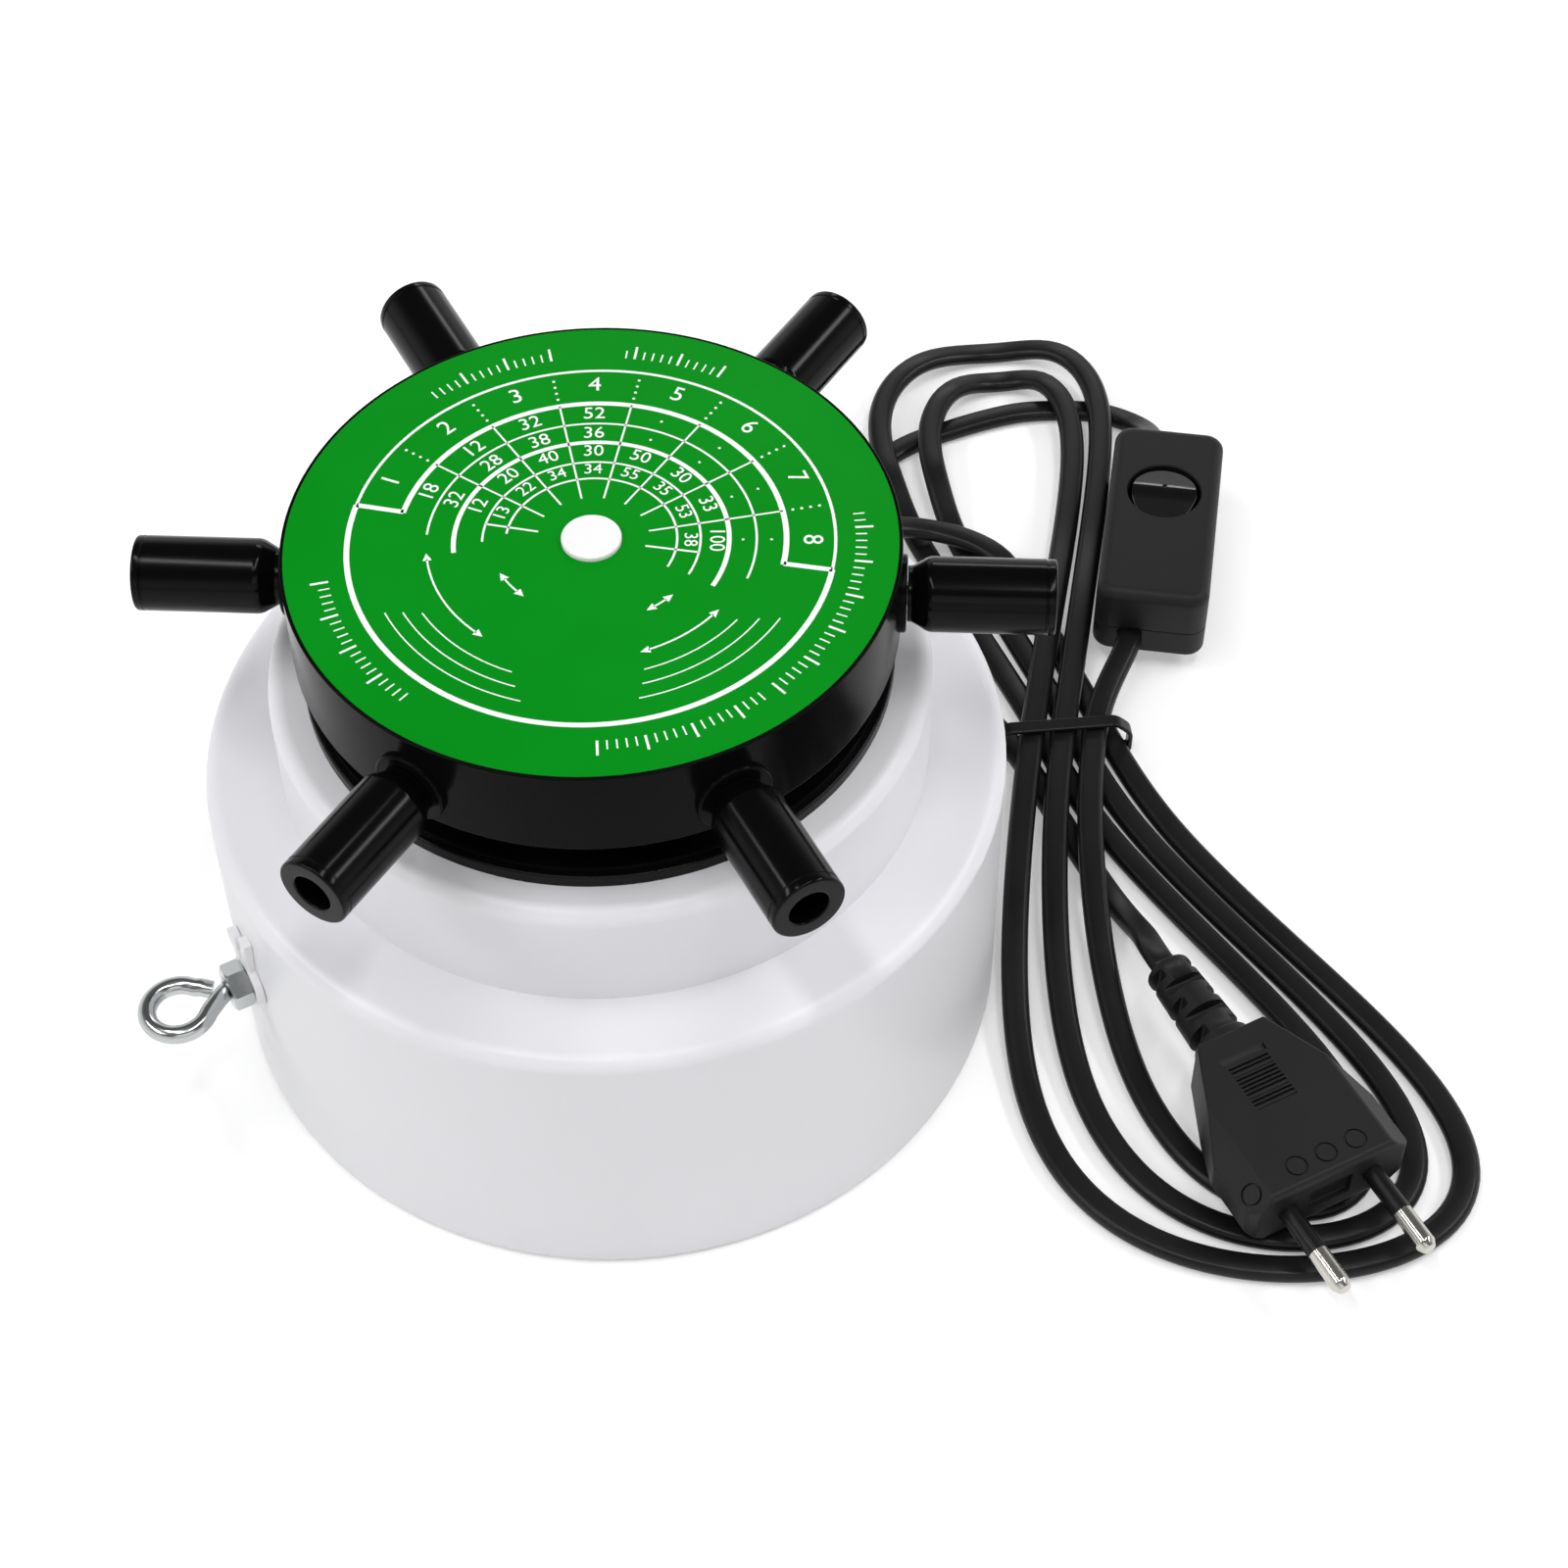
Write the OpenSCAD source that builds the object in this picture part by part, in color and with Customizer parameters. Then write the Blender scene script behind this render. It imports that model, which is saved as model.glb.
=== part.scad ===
/* [Base drums] */
// Outer diameter of the wide lower drum
base_d = 150; // [140:1:170]
// Top of the lower drum above the table
base_top = 64.4; // [60:0.2:75]
// Outer diameter of the stepped upper drum
step_d = 121; // [116:1:124]
// Height of the upper drum above the lower one
step_h = 23.2; // [21:0.2:28]
// Wall thickness of the moulded drums
wall = 2.5; // [2.2:0.1:3]
// Radius of the soft outer top edges
edge_r = 3; // [2:0.5:4]

/* [Turning head] */
// Outer diameter of the black turning head
head_d = 109; // [105:1:112]
// Height of the head's side wall
head_h = 18.8; // [17:0.2:22]
// Height of the head's lower edge above the upper drum
head_lift = 11.05; // [10.6:0.05:13]
// Diameter of the printed dial
dial_d = 107.7; // [104:0.1:110]
// Thickness of the dial sheet
dial_t = 0.6; // [0.4:0.1:1]
// Diameter of the white cap in the middle of the dial
cap_d = 10.7; // [9:0.1:14]
// How far the cap stands above the dial
cap_rise = 1.2; // [0.3:0.1:2]
// Diameter of the drive spindle
spindle_d = 7; // [6:0.5:8]

/* [Arms] */
// Number of arms round the head
arm_count = 6; // [6:1:6]
// Direction of the first arm, measured from the right
arm_turn = -7.8; // [-30:0.1:30]
// Outer diameter of an arm
arm_d = 13.5; // [12.5:0.1:14]
// Distance from the axis to the arm's open end
arm_reach = 81.7; // [78:0.1:90]
// Diameter of the socket in the arm's end
socket_d = 7.3; // [6:0.1:8]
// Depth of the socket in the arm's end
socket_depth = 16; // [12:1:17]

/* [Hanging eye] */
// Direction of the eye, measured from the right
eye_turn = 203.4; // [195:0.1:215]
// Height of the eye bolt's axis
eye_z = 37.7; // [30:0.1:45]
// Distance from the drum's axis to the centre of the ring
eye_reach = 90.2; // [89:0.1:96]
// Outer diameter of the ring
ring_d = 16.4; // [15:0.1:20]
// Wire diameter of the ring
ring_wire = 4.2; // [4:0.1:4.8]

/* [Cord] */
// Width of the flat twin cord
cord_w = 5.4; // [5:0.1:6]
// Height of the flat twin cord
cord_h = 3.2; // [3:0.1:3.6]
// Direction in which the cord leaves the drum
cord_turn = 60; // [60:1:60]
// Height of the cord hole
cord_z = 14; // [14:1:14]

/* [Cord switch] */
// Length of the switch body
switch_l = 52; // [50:1:56]
// Width of the switch body
switch_w = 24; // [23:0.5:26]
// Height of the switch body
switch_h = 17.6; // [16:0.1:20]
// How far the rocker tips from one state to the other
rocker_swing = 16; // [10:1:18]

/* [Plug] */
// Width of the two-pin plug
plug_w = 35.6; // [35:0.1:36]
// Thickness of the plug
plug_h = 13.8; // [13:0.1:14]
// Distance between the two pins
pin_gap = 18.6; // [18:0.1:19.2]
// Diameter of a pin
pin_d = 4; // [4:0.1:4]

/* [Hidden] */
$fn = 96;

// Round surfaces that meet a mating part keep this much air
ease = 0.05;
// Level of the drum's lower rim, just clear of the table
rim_z = 1;
pad_t = 2;
cover_t = 2.5;
shelf_t = 3;
opening_d = step_d - 17;
step_top = base_top + step_h;
top_t = 3;
post_r = 30;
disc_screw_r = 40;
drum_screw_r = step_d / 2 - 5.6;
cover_screw_r = base_d / 2 - 11;
three = [30, 150, 270];

// The flat black disc under the head and its middle boss
disc_r = head_d / 2 - 0.9;
disc_t = 3.4;
boss_top = step_top + 7.9;
bush_r = 6;
washer_t = 0.8;
head_z = step_top + head_lift;
head_top = head_z + head_h;
head_plate = 2.4;
hub_r = 10;
arm_z = head_z + 7.2;
cup_wall = 3;
boss_out = head_d / 2 + 0.9;

motor_r = 25;
motor_h = 15;
motor_plate_t = 1.2;
motor_plate_z = step_top - top_t - 10.6;

// A screw with a round domed head: its shank points down from z = 0
module pan_screw(shank_d, length, head_dia, head_t) {
  translate([0, 0, -length])
    cylinder(d = shank_d, h = length + 0.01, $fn = 24);
  difference() {
    intersection() {
      cylinder(d = head_dia, h = head_t, $fn = 32);
      translate([0, 0, head_t - head_dia * 0.9])
        sphere(d = head_dia * 1.8, $fn = 48);
    }
    for (a = [0, 90])
      rotate(a)
        translate([-head_dia * 0.28, -0.4, head_t * 0.45])
          cube([head_dia * 0.56, 0.8, head_t]);
  }
}

// A drum's shell as a turned profile with one rounded top edge
module drum_profile(r, low, top, t, roof) {
  difference() {
    union() {
      translate([0, low])
        square([r, top - low - edge_r]);
      translate([0, low])
        square([r - edge_r, top - low]);
      translate([r - edge_r, top - edge_r])
        circle(r = edge_r, $fn = 48);
    }
    translate([0, low - 1])
      square([r - t, top - roof - low - 0.5]);
    translate([0, low])
      square([r - t - 1.5, top - roof - low]);
    translate([r - t - 1.5, top - roof - 1.5])
      circle(r = 1.5, $fn = 32);
    translate([-2, low])
      square([2, top]);
  }
}

// Lies a shape made along +X out along a direction at a height
module outward(turn, z) {
  rotate(turn)
    translate([0, 0, z])
      rotate([0, 90, 0])
        children();
}

module lower_drum() {
  color("white")
    difference() {
      union() {
        rotate_extrude($fn = 180)
          drum_profile(base_d / 2, rim_z, base_top, wall, shelf_t);
        for (a = three)
          rotate(a)
            translate([cover_screw_r, 0, pad_t + cover_t]) {
              cylinder(r = 4.5, h = 14);
              translate([0, -1.5, 0])
                cube([base_d / 2 - wall - cover_screw_r + 0.5, 3, 14]);
            }
      }
      translate([0, 0, base_top - shelf_t - 1])
        cylinder(d = opening_d, h = shelf_t + 2);
      for (a = three)
        rotate(a) {
          translate([cover_screw_r, 0, 0])
            cylinder(d = 2.6, h = 16);
          translate([drum_screw_r, 0, base_top - shelf_t - 1])
            cylinder(d = 3.6, h = shelf_t + 2);
        }
      outward(cord_turn, cord_z)
        translate([0, 0, base_d / 2 - 8])
          cylinder(d = 11, h = 12);
      outward(eye_turn, eye_z)
        translate([0, 0, base_d / 2 - 8])
          cylinder(d = 5.4, h = 12);
    }
}

module upper_drum() {
  color("white")
    difference() {
      union() {
        rotate_extrude($fn = 180)
          drum_profile(step_d / 2, base_top, step_top, wall, top_t);
        for (a = three)
          rotate(a) {
            translate([drum_screw_r, 0, base_top + 0.4])
              cylinder(r = 4, h = 13.6);
            translate([post_r, 0, motor_plate_z + motor_plate_t])
              cylinder(r = 4, h = step_top - top_t - motor_plate_z);
          }
        for (a = three)
          rotate(a + 60)
            translate([disc_screw_r, 0, step_top - 9])
              cylinder(r = 3.6, h = 8);
      }
      translate([0, 0, step_top - top_t - 1])
        cylinder(r = bush_r + ease, h = top_t + 2);
      for (a = three)
        rotate(a) {
          translate([drum_screw_r, 0, base_top - 1])
            cylinder(d = 2.5, h = 13);
          translate([post_r, 0, motor_plate_z])
            cylinder(d = 2.5, h = 10);
        }
      for (a = three)
        rotate(a + 60)
          translate([disc_screw_r, 0, step_top - 8])
            cylinder(d = 2.5, h = 9);
    }
}

module bottom_cover() {
  color("lightgrey")
    difference() {
      translate([0, 0, pad_t])
        cylinder(r = base_d / 2 - wall - 0.3, h = cover_t, $fn = 180);
      for (a = three)
        rotate(a)
          translate([cover_screw_r, 0, pad_t - 1])
            cylinder(d = 3.4, h = cover_t + 2);
    }
}

// A rubber sheet that the machine stands on, open round each screw head
module base_pad() {
  color("dimgray")
    difference() {
      cylinder(r = base_d / 2 - 5, h = pad_t, $fn = 180);
      for (a = three)
        rotate(a)
          translate([cover_screw_r, 0, -1])
            cylinder(d = 8, h = pad_t + 2);
    }
}

module cover_screws() {
  color("silver")
    for (a = three)
      rotate(a)
        translate([cover_screw_r, 0, pad_t])
          rotate([180, 0, 0])
            pan_screw(2.5, 12, 5.6, 1.6);
}

module drum_screws() {
  color("silver")
    for (a = three)
      rotate(a)
        translate([drum_screw_r, 0, base_top - shelf_t])
          rotate([180, 0, 0])
            pan_screw(2.4, 12, 5.6, 2);
}

// The slow geared motor: a flat can with its spindle well and a terminal cap
module motor_can() {
  color("silver")
    difference() {
      union() {
        translate([0, 0, motor_plate_z - motor_h])
          cylinder(r = motor_r, h = motor_h);
        translate([0, 0, motor_plate_z - motor_h - 1.6])
          cylinder(r = motor_r - 4, h = 2);
        rotate(cord_turn)
          translate([motor_r - 4, -6, motor_plate_z - motor_h + 2])
            cube([7, 12, 9]);
      }
      translate([0, 0, motor_plate_z - motor_h + 2])
        cylinder(d = spindle_d + 2 * ease, h = motor_h);
    }
}

module motor_plate() {
  color("gainsboro")
    difference() {
      union() {
        translate([0, 0, motor_plate_z])
          cylinder(r = motor_r - 1, h = motor_plate_t);
        for (a = three)
          rotate(a) {
            translate([post_r, 0, motor_plate_z])
              cylinder(r = 4.5, h = motor_plate_t);
            translate([motor_r - 6, -4.5, motor_plate_z])
              cube([post_r - motor_r + 6, 9, motor_plate_t]);
          }
      }
      translate([0, 0, motor_plate_z - 1])
        cylinder(d = spindle_d + 1, h = motor_plate_t + 2);
      for (a = three)
        rotate(a)
          translate([post_r, 0, motor_plate_z - 1])
            cylinder(d = 3.2, h = motor_plate_t + 2);
    }
}

module motor_screws() {
  color("silver")
    for (a = three)
      rotate(a)
        translate([post_r, 0, motor_plate_z])
          rotate([180, 0, 0])
            pan_screw(2.4, 9, 5.6, 2);
}

// The bronze bush that the spindle turns in, shouldered under the drum's roof
module spindle_bush() {
  color("peru")
    difference() {
      union() {
        translate([0, 0, step_top - top_t - 2])
          cylinder(r = bush_r, h = boss_top - step_top + top_t + 2);
        translate([0, 0, step_top - top_t - 2])
          cylinder(r = bush_r + 2.5, h = 2);
      }
      translate([0, 0, step_top - top_t - 3])
        cylinder(d = spindle_d + 2 * ease, h = 30);
    }
}

module lower_disc() {
  color("black")
    difference() {
      union() {
        rotate_extrude($fn = 180)
          union() {
            translate([0, step_top])
              square([disc_r, disc_t - 1.5]);
            translate([0, step_top])
              square([disc_r - 0.5, disc_t - 1]);
            translate([disc_r - 0.5, step_top + disc_t - 1.5])
              circle(r = 0.5, $fn = 24);
            translate([0, step_top])
              square([disc_r - 1.4, disc_t]);
          }
        translate([0, 0, step_top])
          cylinder(r = 13, h = boss_top - step_top);
      }
      translate([0, 0, step_top - 1])
        cylinder(r = bush_r + ease, h = 12);
      for (a = three)
        rotate(a + 60) {
          translate([disc_screw_r, 0, step_top - 1])
            cylinder(d = 3.4, h = disc_t + 2);
          translate([disc_screw_r, 0, step_top + disc_t - 1.7])
            cylinder(d = 6.2, h = 3);
        }
    }
}

module disc_screws() {
  color("silver")
    for (a = three)
      rotate(a + 60)
        translate([disc_screw_r, 0, step_top + disc_t - 1.7])
          pan_screw(2.4, 8, 5.6, 1.6);
}

module thrust_washer() {
  color("peru")
    difference() {
      translate([0, 0, boss_top])
        cylinder(r = 9, h = washer_t);
      translate([0, 0, boss_top - 1])
        cylinder(d = spindle_d + 0.6, h = washer_t + 2);
    }
}

// The two-way terminal block stands on the bottom cover inside the drum
terminal_r = 36;

module at_terminal() {
  rotate(cord_turn)
    translate([terminal_r, 0, pad_t + cover_t])
      children();
}

module terminal_block() {
  color("ivory")
    at_terminal()
      difference() {
        union() {
          translate([-9, -9, 0])
            cube([18, 18, 3]);
          for (y = [-4.5, 4.5])
            translate([-9, y - 3.6, 3])
              cube([18, 7.2, 10]);
        }
        for (y = [-4.5, 4.5]) {
          translate([-10, y, 7.5])
            rotate([0, 90, 0])
              cylinder(d = 3.4, h = 20, $fn = 32);
          for (x = [-5, 5])
            translate([x, y, 8])
              cylinder(d = 3.4, h = 6, $fn = 32);
        }
      }
}

module terminal_screws() {
  color("gold")
    at_terminal()
      for (x = [-5, 5])
        for (y = [-4.5, 4.5])
          translate([x, y, 9.3])
            cylinder(d = 3, h = 2.6, $fn = 32);
}

// Vector helpers for the swept tubes
function unit(v) = v / norm(v);
function flat_side(d) = unit([-d[1], d[0], 0]);
function along(p, i) = unit(p[min(i + 1, len(p) - 1)] - p[max(i - 1, 0)]);

// The outline of a flat twin cord with 6 or 8 corners, as side and up offsets
function oval_six(w, h) = [for (a = [0 : 60 : 300])
  [w / 2 * cos(a), h / 2 / sin(60) * sin(a)]];
function oval_eight(w, h) = [for (a = [22.5 : 45 : 337.5])
  [w / 2 / cos(22.5) * cos(a), h / 2 / cos(22.5) * sin(a)]];

// One closed tube through the points, its outline kept level; ends are square
module swept(points, outline) {
  n = len(points);
  m = len(outline);
  rings = [for (i = [0 : n - 1])
    let (d = along(points, i), side = flat_side(d), up = cross(d, side))
      [for (q = outline) points[i] + side * q[0] + up * q[1]]];
  skin = [for (i = [0 : n - 2]) for (k = [0 : m - 1])
    let (a = i * m + k, b = i * m + (k + 1) % m)
      each [[a, a + m, b], [b, a + m, b + m]]];
  first = [for (k = [1 : m - 2]) [0, k, k + 1]];
  last = [for (k = [1 : m - 2]) [(n - 1) * m, (n - 1) * m + k + 1, (n - 1) * m + k]];
  polyhedron([for (r = rings) each r], concat(skin, first, last));
}

cord_dir = [cos(cord_turn), sin(cord_turn), 0];
gland_in = base_d / 2 - wall - 4;
relief_tip = base_d / 2 + 26;

// Inside the drum the cord runs from the relief to the terminal block
module inner_cord() {
  color("black")
    swept([
      cord_dir * gland_in + [0, 0, 14],
      cord_dir * 62 + [0, 0, 14],
      cord_dir * 56 + [0, 0, 13.4],
      cord_dir * 51 + [0, 0, 12.4],
      cord_dir * (terminal_r + 9.3) + [0, 0, 12]
    ], oval_eight(cord_w, cord_h));
}

module motor_leads() {
  color("royalblue")
    for (y = [-2.6, 2.6])
      rotate(cord_turn)
        swept([
          [terminal_r - 9, y * 1.7, 12],
          [22.5, y * 1.7, 12.6],
          [15, y * 1.5, 22],
          [16.4, y * 1.2, 36],
          [23, y, 48],
          [26.2, y, 56],
          [26.3, y, motor_plate_z - motor_h + 2]
        ], oval_six(1.8, 1.8));
}

// The tapered rubber sleeve that the cord leaves the drum through
module cord_relief() {
  color("black")
    outward(cord_turn, cord_z)
      difference() {
        union() {
          translate([0, 0, gland_in])
            cylinder(r = 7.5, h = 3.6);
          translate([0, 0, gland_in])
            cylinder(r = 5.4, h = 10);
          translate([0, 0, base_d / 2 + 0.4])
            cylinder(r = 7, h = 2.4);
          translate([0, 0, base_d / 2 + 2.6])
            cylinder(r1 = 5.8, r2 = 3.8, h = relief_tip - base_d / 2 - 2.6);
        }
        for (k = [0 : 3])
          for (s = [0, 180])
            rotate(s + 90 * (k % 2))
              translate([2.6, -8, base_d / 2 + 6.5 + k * 4.4])
                cube([8, 16, 1.6]);
      }
}

// A post whose channel the inner cord lies in, under the edge of a wide screw head
post_h = 10.6;

module cord_clamp() {
  color("white")
    rotate(cord_turn)
      translate([56, 0, pad_t + cover_t])
        difference() {
          translate([-3, -9, 0])
            cube([6, 18, post_h]);
          translate([-4, -2.9, 6.3])
            cube([8, 5.8, 8]);
          translate([0, 5.6, 3])
            cylinder(d = 2.4, h = 10);
        }
}

module clamp_screw() {
  color("silver")
    rotate(cord_turn)
      translate([56, 5.6, pad_t + cover_t + post_h])
        pan_screw(2.3, 7, 7.4, 1.6);
}

nut_t = 4;
nut_af = 8;
ear_t = 1.5;
ear_r = 5.2;
bolt_r = 2.45;
shank_in = base_d / 2 - 15;

// A bent wire eye: ring and straight shank in one piece
module eye_bolt() {
  color("silver")
    rotate(eye_turn)
      translate([eye_reach, 0, eye_z]) {
        rotate(210)
          rotate_extrude(angle = 330, $fn = 96)
            translate([(ring_d - ring_wire) / 2, 0])
              circle(d = ring_wire, $fn = 32);
        translate([-(ring_d - ring_wire) / 2 - 0.6, 0, 0])
          rotate([0, -90, 0])
            cylinder(r = bolt_r, h = eye_reach - shank_in - (ring_d - ring_wire) / 2 - 0.6);
      }
}

module hex_nut(af, t, bore) {
  difference() {
    cylinder(d = af / cos(30), h = t, $fn = 6);
    translate([0, 0, -1])
      cylinder(d = bore, h = t + 2, $fn = 48);
  }
}

module eye_nut() {
  color("silver")
    outward(eye_turn, eye_z)
      translate([0, 0, base_d / 2 + ear_t])
        hex_nut(nut_af, nut_t, 5);
}

// The white washer at the wall, with one straight and one round ear
module ear_washer() {
  color("white")
    outward(eye_turn, eye_z)
      translate([0, 0, base_d / 2])
        difference() {
          union() {
            cylinder(r = ear_r, h = ear_t);
            rotate(172)
              translate([0, -1.3, 0])
                cube([14, 2.6, ear_t]);
            rotate(215) {
              translate([0, -1.6, 0])
                cube([8.6, 3.2, ear_t]);
              translate([8.6, 0, 0])
                cylinder(r = 2.3, h = ear_t);
            }
          }
          translate([0, 0, -1])
            cylinder(r = bolt_r + ease, h = ear_t + 2);
        }
}

inner_face = base_d / 2 - wall - 0.7;

module inner_washer() {
  color("silver")
    outward(eye_turn, eye_z)
      translate([0, 0, inner_face - 1])
        difference() {
          cylinder(r = 6, h = 1);
          translate([0, 0, -1])
            cylinder(r = bolt_r + ease, h = 3);
        }
}

module inner_nut() {
  color("silver")
    outward(eye_turn, eye_z)
      translate([0, 0, inner_face - 1 - nut_t])
        hex_nut(nut_af, nut_t, 5);
}

// The cord on the table. The waist is where the tie draws the strands together.
waist = [96, 41];
floor_z = cord_h / 2 + 0.2;
tie_lift = 1.1;
layer = cord_h + 0.5;
// The slope that all strands share at the waist
slope = 0.25;
// Sideways places of the strands at the waist, in the upper and lower layer
over_slots = [-6.7, 0, 6.7];
under_slots = [10.05, 3.35, -3.35];

// Loops below the waist: reach, bulge at the start side and at the end side
low_loops = [[131, 46, 46], [124.5, 33, 33], [118, 20, 20]];
low_shift = 28;
// Loops above the waist, which lie inside each other
high_loops = [[112, 14, 22], [122, 23, 36]];
high_shift = 4;
loop_rings = 24;
hold = 34;

// Rises from 0 to 1 as x goes from a to b, with a soft start and end
function ease_in(x, a, b) = let (t = min(1, max(0, (x - a) / (b - a)))) t * t * (3 - 2 * t);

// Sideways place on a loop at angle t, from its start at 0 to its end at 180
function lobe_side(t, reach, bulge, power, shift) =
  cos(t) * (slope * reach * sin(t) + bulge * pow(sin(t), power))
  + shift * pow(sin(t), 2) * (2 - sin(t));

// Below the waist the strand starts on the right in the lower layer and ends on the
// left in the upper one
function low_point(t, k) =
  let (
    loop = low_loops[k],
    s = loop[0] * sin(t),
    u = (1 - cos(t)) / 2,
    slot = under_slots[k] * (1 - u) + over_slots[k] * u,
    bulge = t < 90 ? loop[1] : loop[2],
    lift = t < 90
      ? tie_lift * (1 - ease_in(s, 3, 26))
      : tie_lift * (1 - ease_in(s, hold, 60)) + layer * (1 - ease_in(s, hold + 10, 90))
  )
  [waist[0] + slot + lobe_side(t, loop[0], bulge, 2, low_shift), waist[1] - s, floor_z + lift];

// Above the waist it starts on the right in the upper layer and ends on the left in
// the lower one, and passes over the tail's arc near the top of both sides
function high_point(t, k) =
  let (
    loop = high_loops[k],
    s = loop[0] * sin(t),
    u = (1 - cos(t)) / 2,
    slot = over_slots[k] * (1 - u) + under_slots[k + 1] * u,
    bulge = t < 90 ? loop[1] : loop[2],
    power = t < 90 ? 4 : 2,
    lift = t < 90
      ? layer + tie_lift * (1 - ease_in(s, hold, 60)) - layer * ease_in(t, 72, 90)
      : tie_lift * (1 - ease_in(s, 3, 26)) + layer * min(ease_in(s, 66, 80), 1 - ease_in(180 - t, 70, 90))
  )
  [waist[0] + slot + lobe_side(t, loop[0], bulge, power, high_shift), waist[1] + s, floor_z + lift];

// The start and the end of the hank lie a little way from the waist
hank_cut = 11;
function hank_points(n) = concat(
  [for (i = [0 : n]) low_point(hank_cut + (180 - hank_cut) * i / n, 0)],
  [for (i = [1 : n - 1]) high_point(180 * i / n, 0)],
  [for (i = [0 : n]) low_point(180 * i / n, 1)],
  [for (i = [1 : n - 1]) high_point(180 * i / n, 1)],
  [for (i = [0 : n]) low_point((180 - hank_cut) * i / n, 2)]);

// The least air between strands of the flat section, from points along their middles
function strand_gap(a, b) =
  max(norm([a[0] - b[0], a[1] - b[1]]) - cord_w, abs(a[2] - b[2]) - cord_h);
function self_gap(p, skip) = min([for (i = [0 : len(p) - 1 - skip])
  min([for (j = [i + skip : len(p) - 1]) strand_gap(p[i], p[j])])]);

switch_turn = -14;
switch_mid = [123.8, 88.7];
switch_z = 4.4;
entry_off = -4;
entry_z = 5.6;
plug_turn = 22;
plug_face = [128, -79.5];
plug_z = 4.6;
body_l = 36;
relief_l = 22;
plug_mid_h = plug_h / 2;

// Points in the frames of the switch and of the plug
function turned(v, a) = [v[0] * cos(a) - v[1] * sin(a), v[0] * sin(a) + v[1] * cos(a)];
function on_switch(x, y, z) =
  [each (switch_mid + turned([x, y], switch_turn)), switch_z + z];
function on_plug(x, y, z) = [each (plug_face + turned([x, y], plug_turn)), plug_z + z];

// From the relief the lead turns in a small arch over the hank's left side, runs down
// inside it and passes under the tie
lead_bend = [72, 80.8];
lead_bend_r = 22;
lead_arch = [
  [150, 13.8], [133, 12.5], [115, 10.4], [98, 8.2], [81, 6.5], [63, 5.8], [46, 5.6],
  [36, 5.6], [26, 4.8], [18, 3.4], [10, 2.2]
];
under_lead = waist + [under_slots[0], 0];
lead_route = concat(
  [for (r = [0, 2.6]) cord_dir * (relief_tip + r) + [0, 0, cord_z]],
  [for (q = lead_arch)
    [each (lead_bend + lead_bend_r * [cos(q[0]), sin(q[0])]), q[1]]],
  [[94.9, 79, 1.8]],
  [for (s = [32, 24, 16, 8])
    [each (under_lead + s * [-slope, 1]), floor_z + tie_lift * (1 - ease_in(s, 3, 26))]],
  [for (t = [0 : 3.5 : 10.5]) low_point(t, 0)],
  [low_point(hank_cut, 0)]);

link_route = concat(
  [for (t = [180 - hank_cut : 3.5 : 180]) low_point(t, 2)],
  [
    [105.2, 48, 7.3],
    [108.9, 54.8, 8.8],
    on_switch(entry_off, -switch_l / 2 - 3.2, entry_z),
    on_switch(entry_off, -switch_l / 2, entry_z)
  ]);

tail_route = concat(
  [for (y = [0, 4]) on_switch(entry_off, switch_l / 2 + y, entry_z)],
  [
    [128.5, 123.6, 8.4], [129, 128.4, 5.8], [128.1, 133.2, 3.3], [124.9, 137.6, 1.8],
    [118.8, 140.9, 1.8], [110.5, 142.2, 1.8], [102, 142.6, 1.8], [93, 140.9, 1.8],
    [84, 138.2, 1.8], [74.4, 134.6, 1.8], [67, 129.3, 1.8], [62, 121.5, 1.8],
    [60, 112, 1.8], [60.4, 102.5, 1.8], [62.2, 93, 1.8], [65.4, 83, 1.8],
    [69.4, 73, 1.8], [74, 63, 2.1], [79, 53, 2.7], [83.8, 44.5, 2.9], [87.6, 35.5, 2.9],
    [90.8, 26, 2.6], [94.2, 16, 2.1], [97.8, 6, 1.8], [100.5, -1, 1.9],
    [102.8, -8, 3.8], [104, -14, 7.4]
  ],
  [for (y = [4.6, 0]) on_plug(0, body_l + relief_l + y, plug_mid_h)]);

module cord_lead() {
  color("black")
    swept(lead_route, oval_eight(cord_w, cord_h));
}

module cord_hank() {
  fine = hank_points(72);
  echo("least gap of the hank to itself", self_gap(fine, 12));
  color("black")
    swept(hank_points(loop_rings), oval_six(cord_w, cord_h));
}

module cord_link() {
  color("black")
    swept(link_route, oval_eight(cord_w, cord_h));
}

module cord_tail() {
  color("black")
    swept(tail_route, oval_eight(cord_w, cord_h));
}

tie_w = 30.4;
tie_h = 9.4;
tie_t = 0.9;

// The band seen along the strands, drawn in by a thickness on every side
module tie_outline(t) {
  slant = t * tan(22.5);
  polygon([
    [-tie_w / 2 + t, -tie_h / 2 + t], [tie_w / 2 - t, -tie_h / 2 + t],
    [tie_w / 2 - t, tie_h / 2 - 3.4 - slant], [tie_w / 2 - 3.4 - slant, tie_h / 2 - t],
    [-tie_w / 2 + 3.4 + slant, tie_h / 2 - t], [-tie_w / 2 + t, tie_h / 2 - 3.4 - slant]
  ]);
}

module cord_tie() {
  color("black")
    translate([waist[0] - 0.5, waist[1] + 1.5, tie_h / 2 + 0.1])
      rotate([90, 0, 0]) {
        linear_extrude(height = 3)
          difference() {
            tie_outline(0);
            tie_outline(tie_t);
          }
        translate([-tie_w / 2 - 4, tie_h / 2 - 5.8, 0])
          cube([4.2, 2.4, 3]);
      }
}

split_h = 7;
roof_t = 2.5;
rocker_r = 7.1;
rocker_hole_r = 7.9;
rocker_at = [0, 6, switch_h - 5.4];
screw_at = [6.5, 19];

module at_switch() {
  translate([switch_mid[0], switch_mid[1], switch_z])
    rotate(switch_turn)
      children();
}

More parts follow.
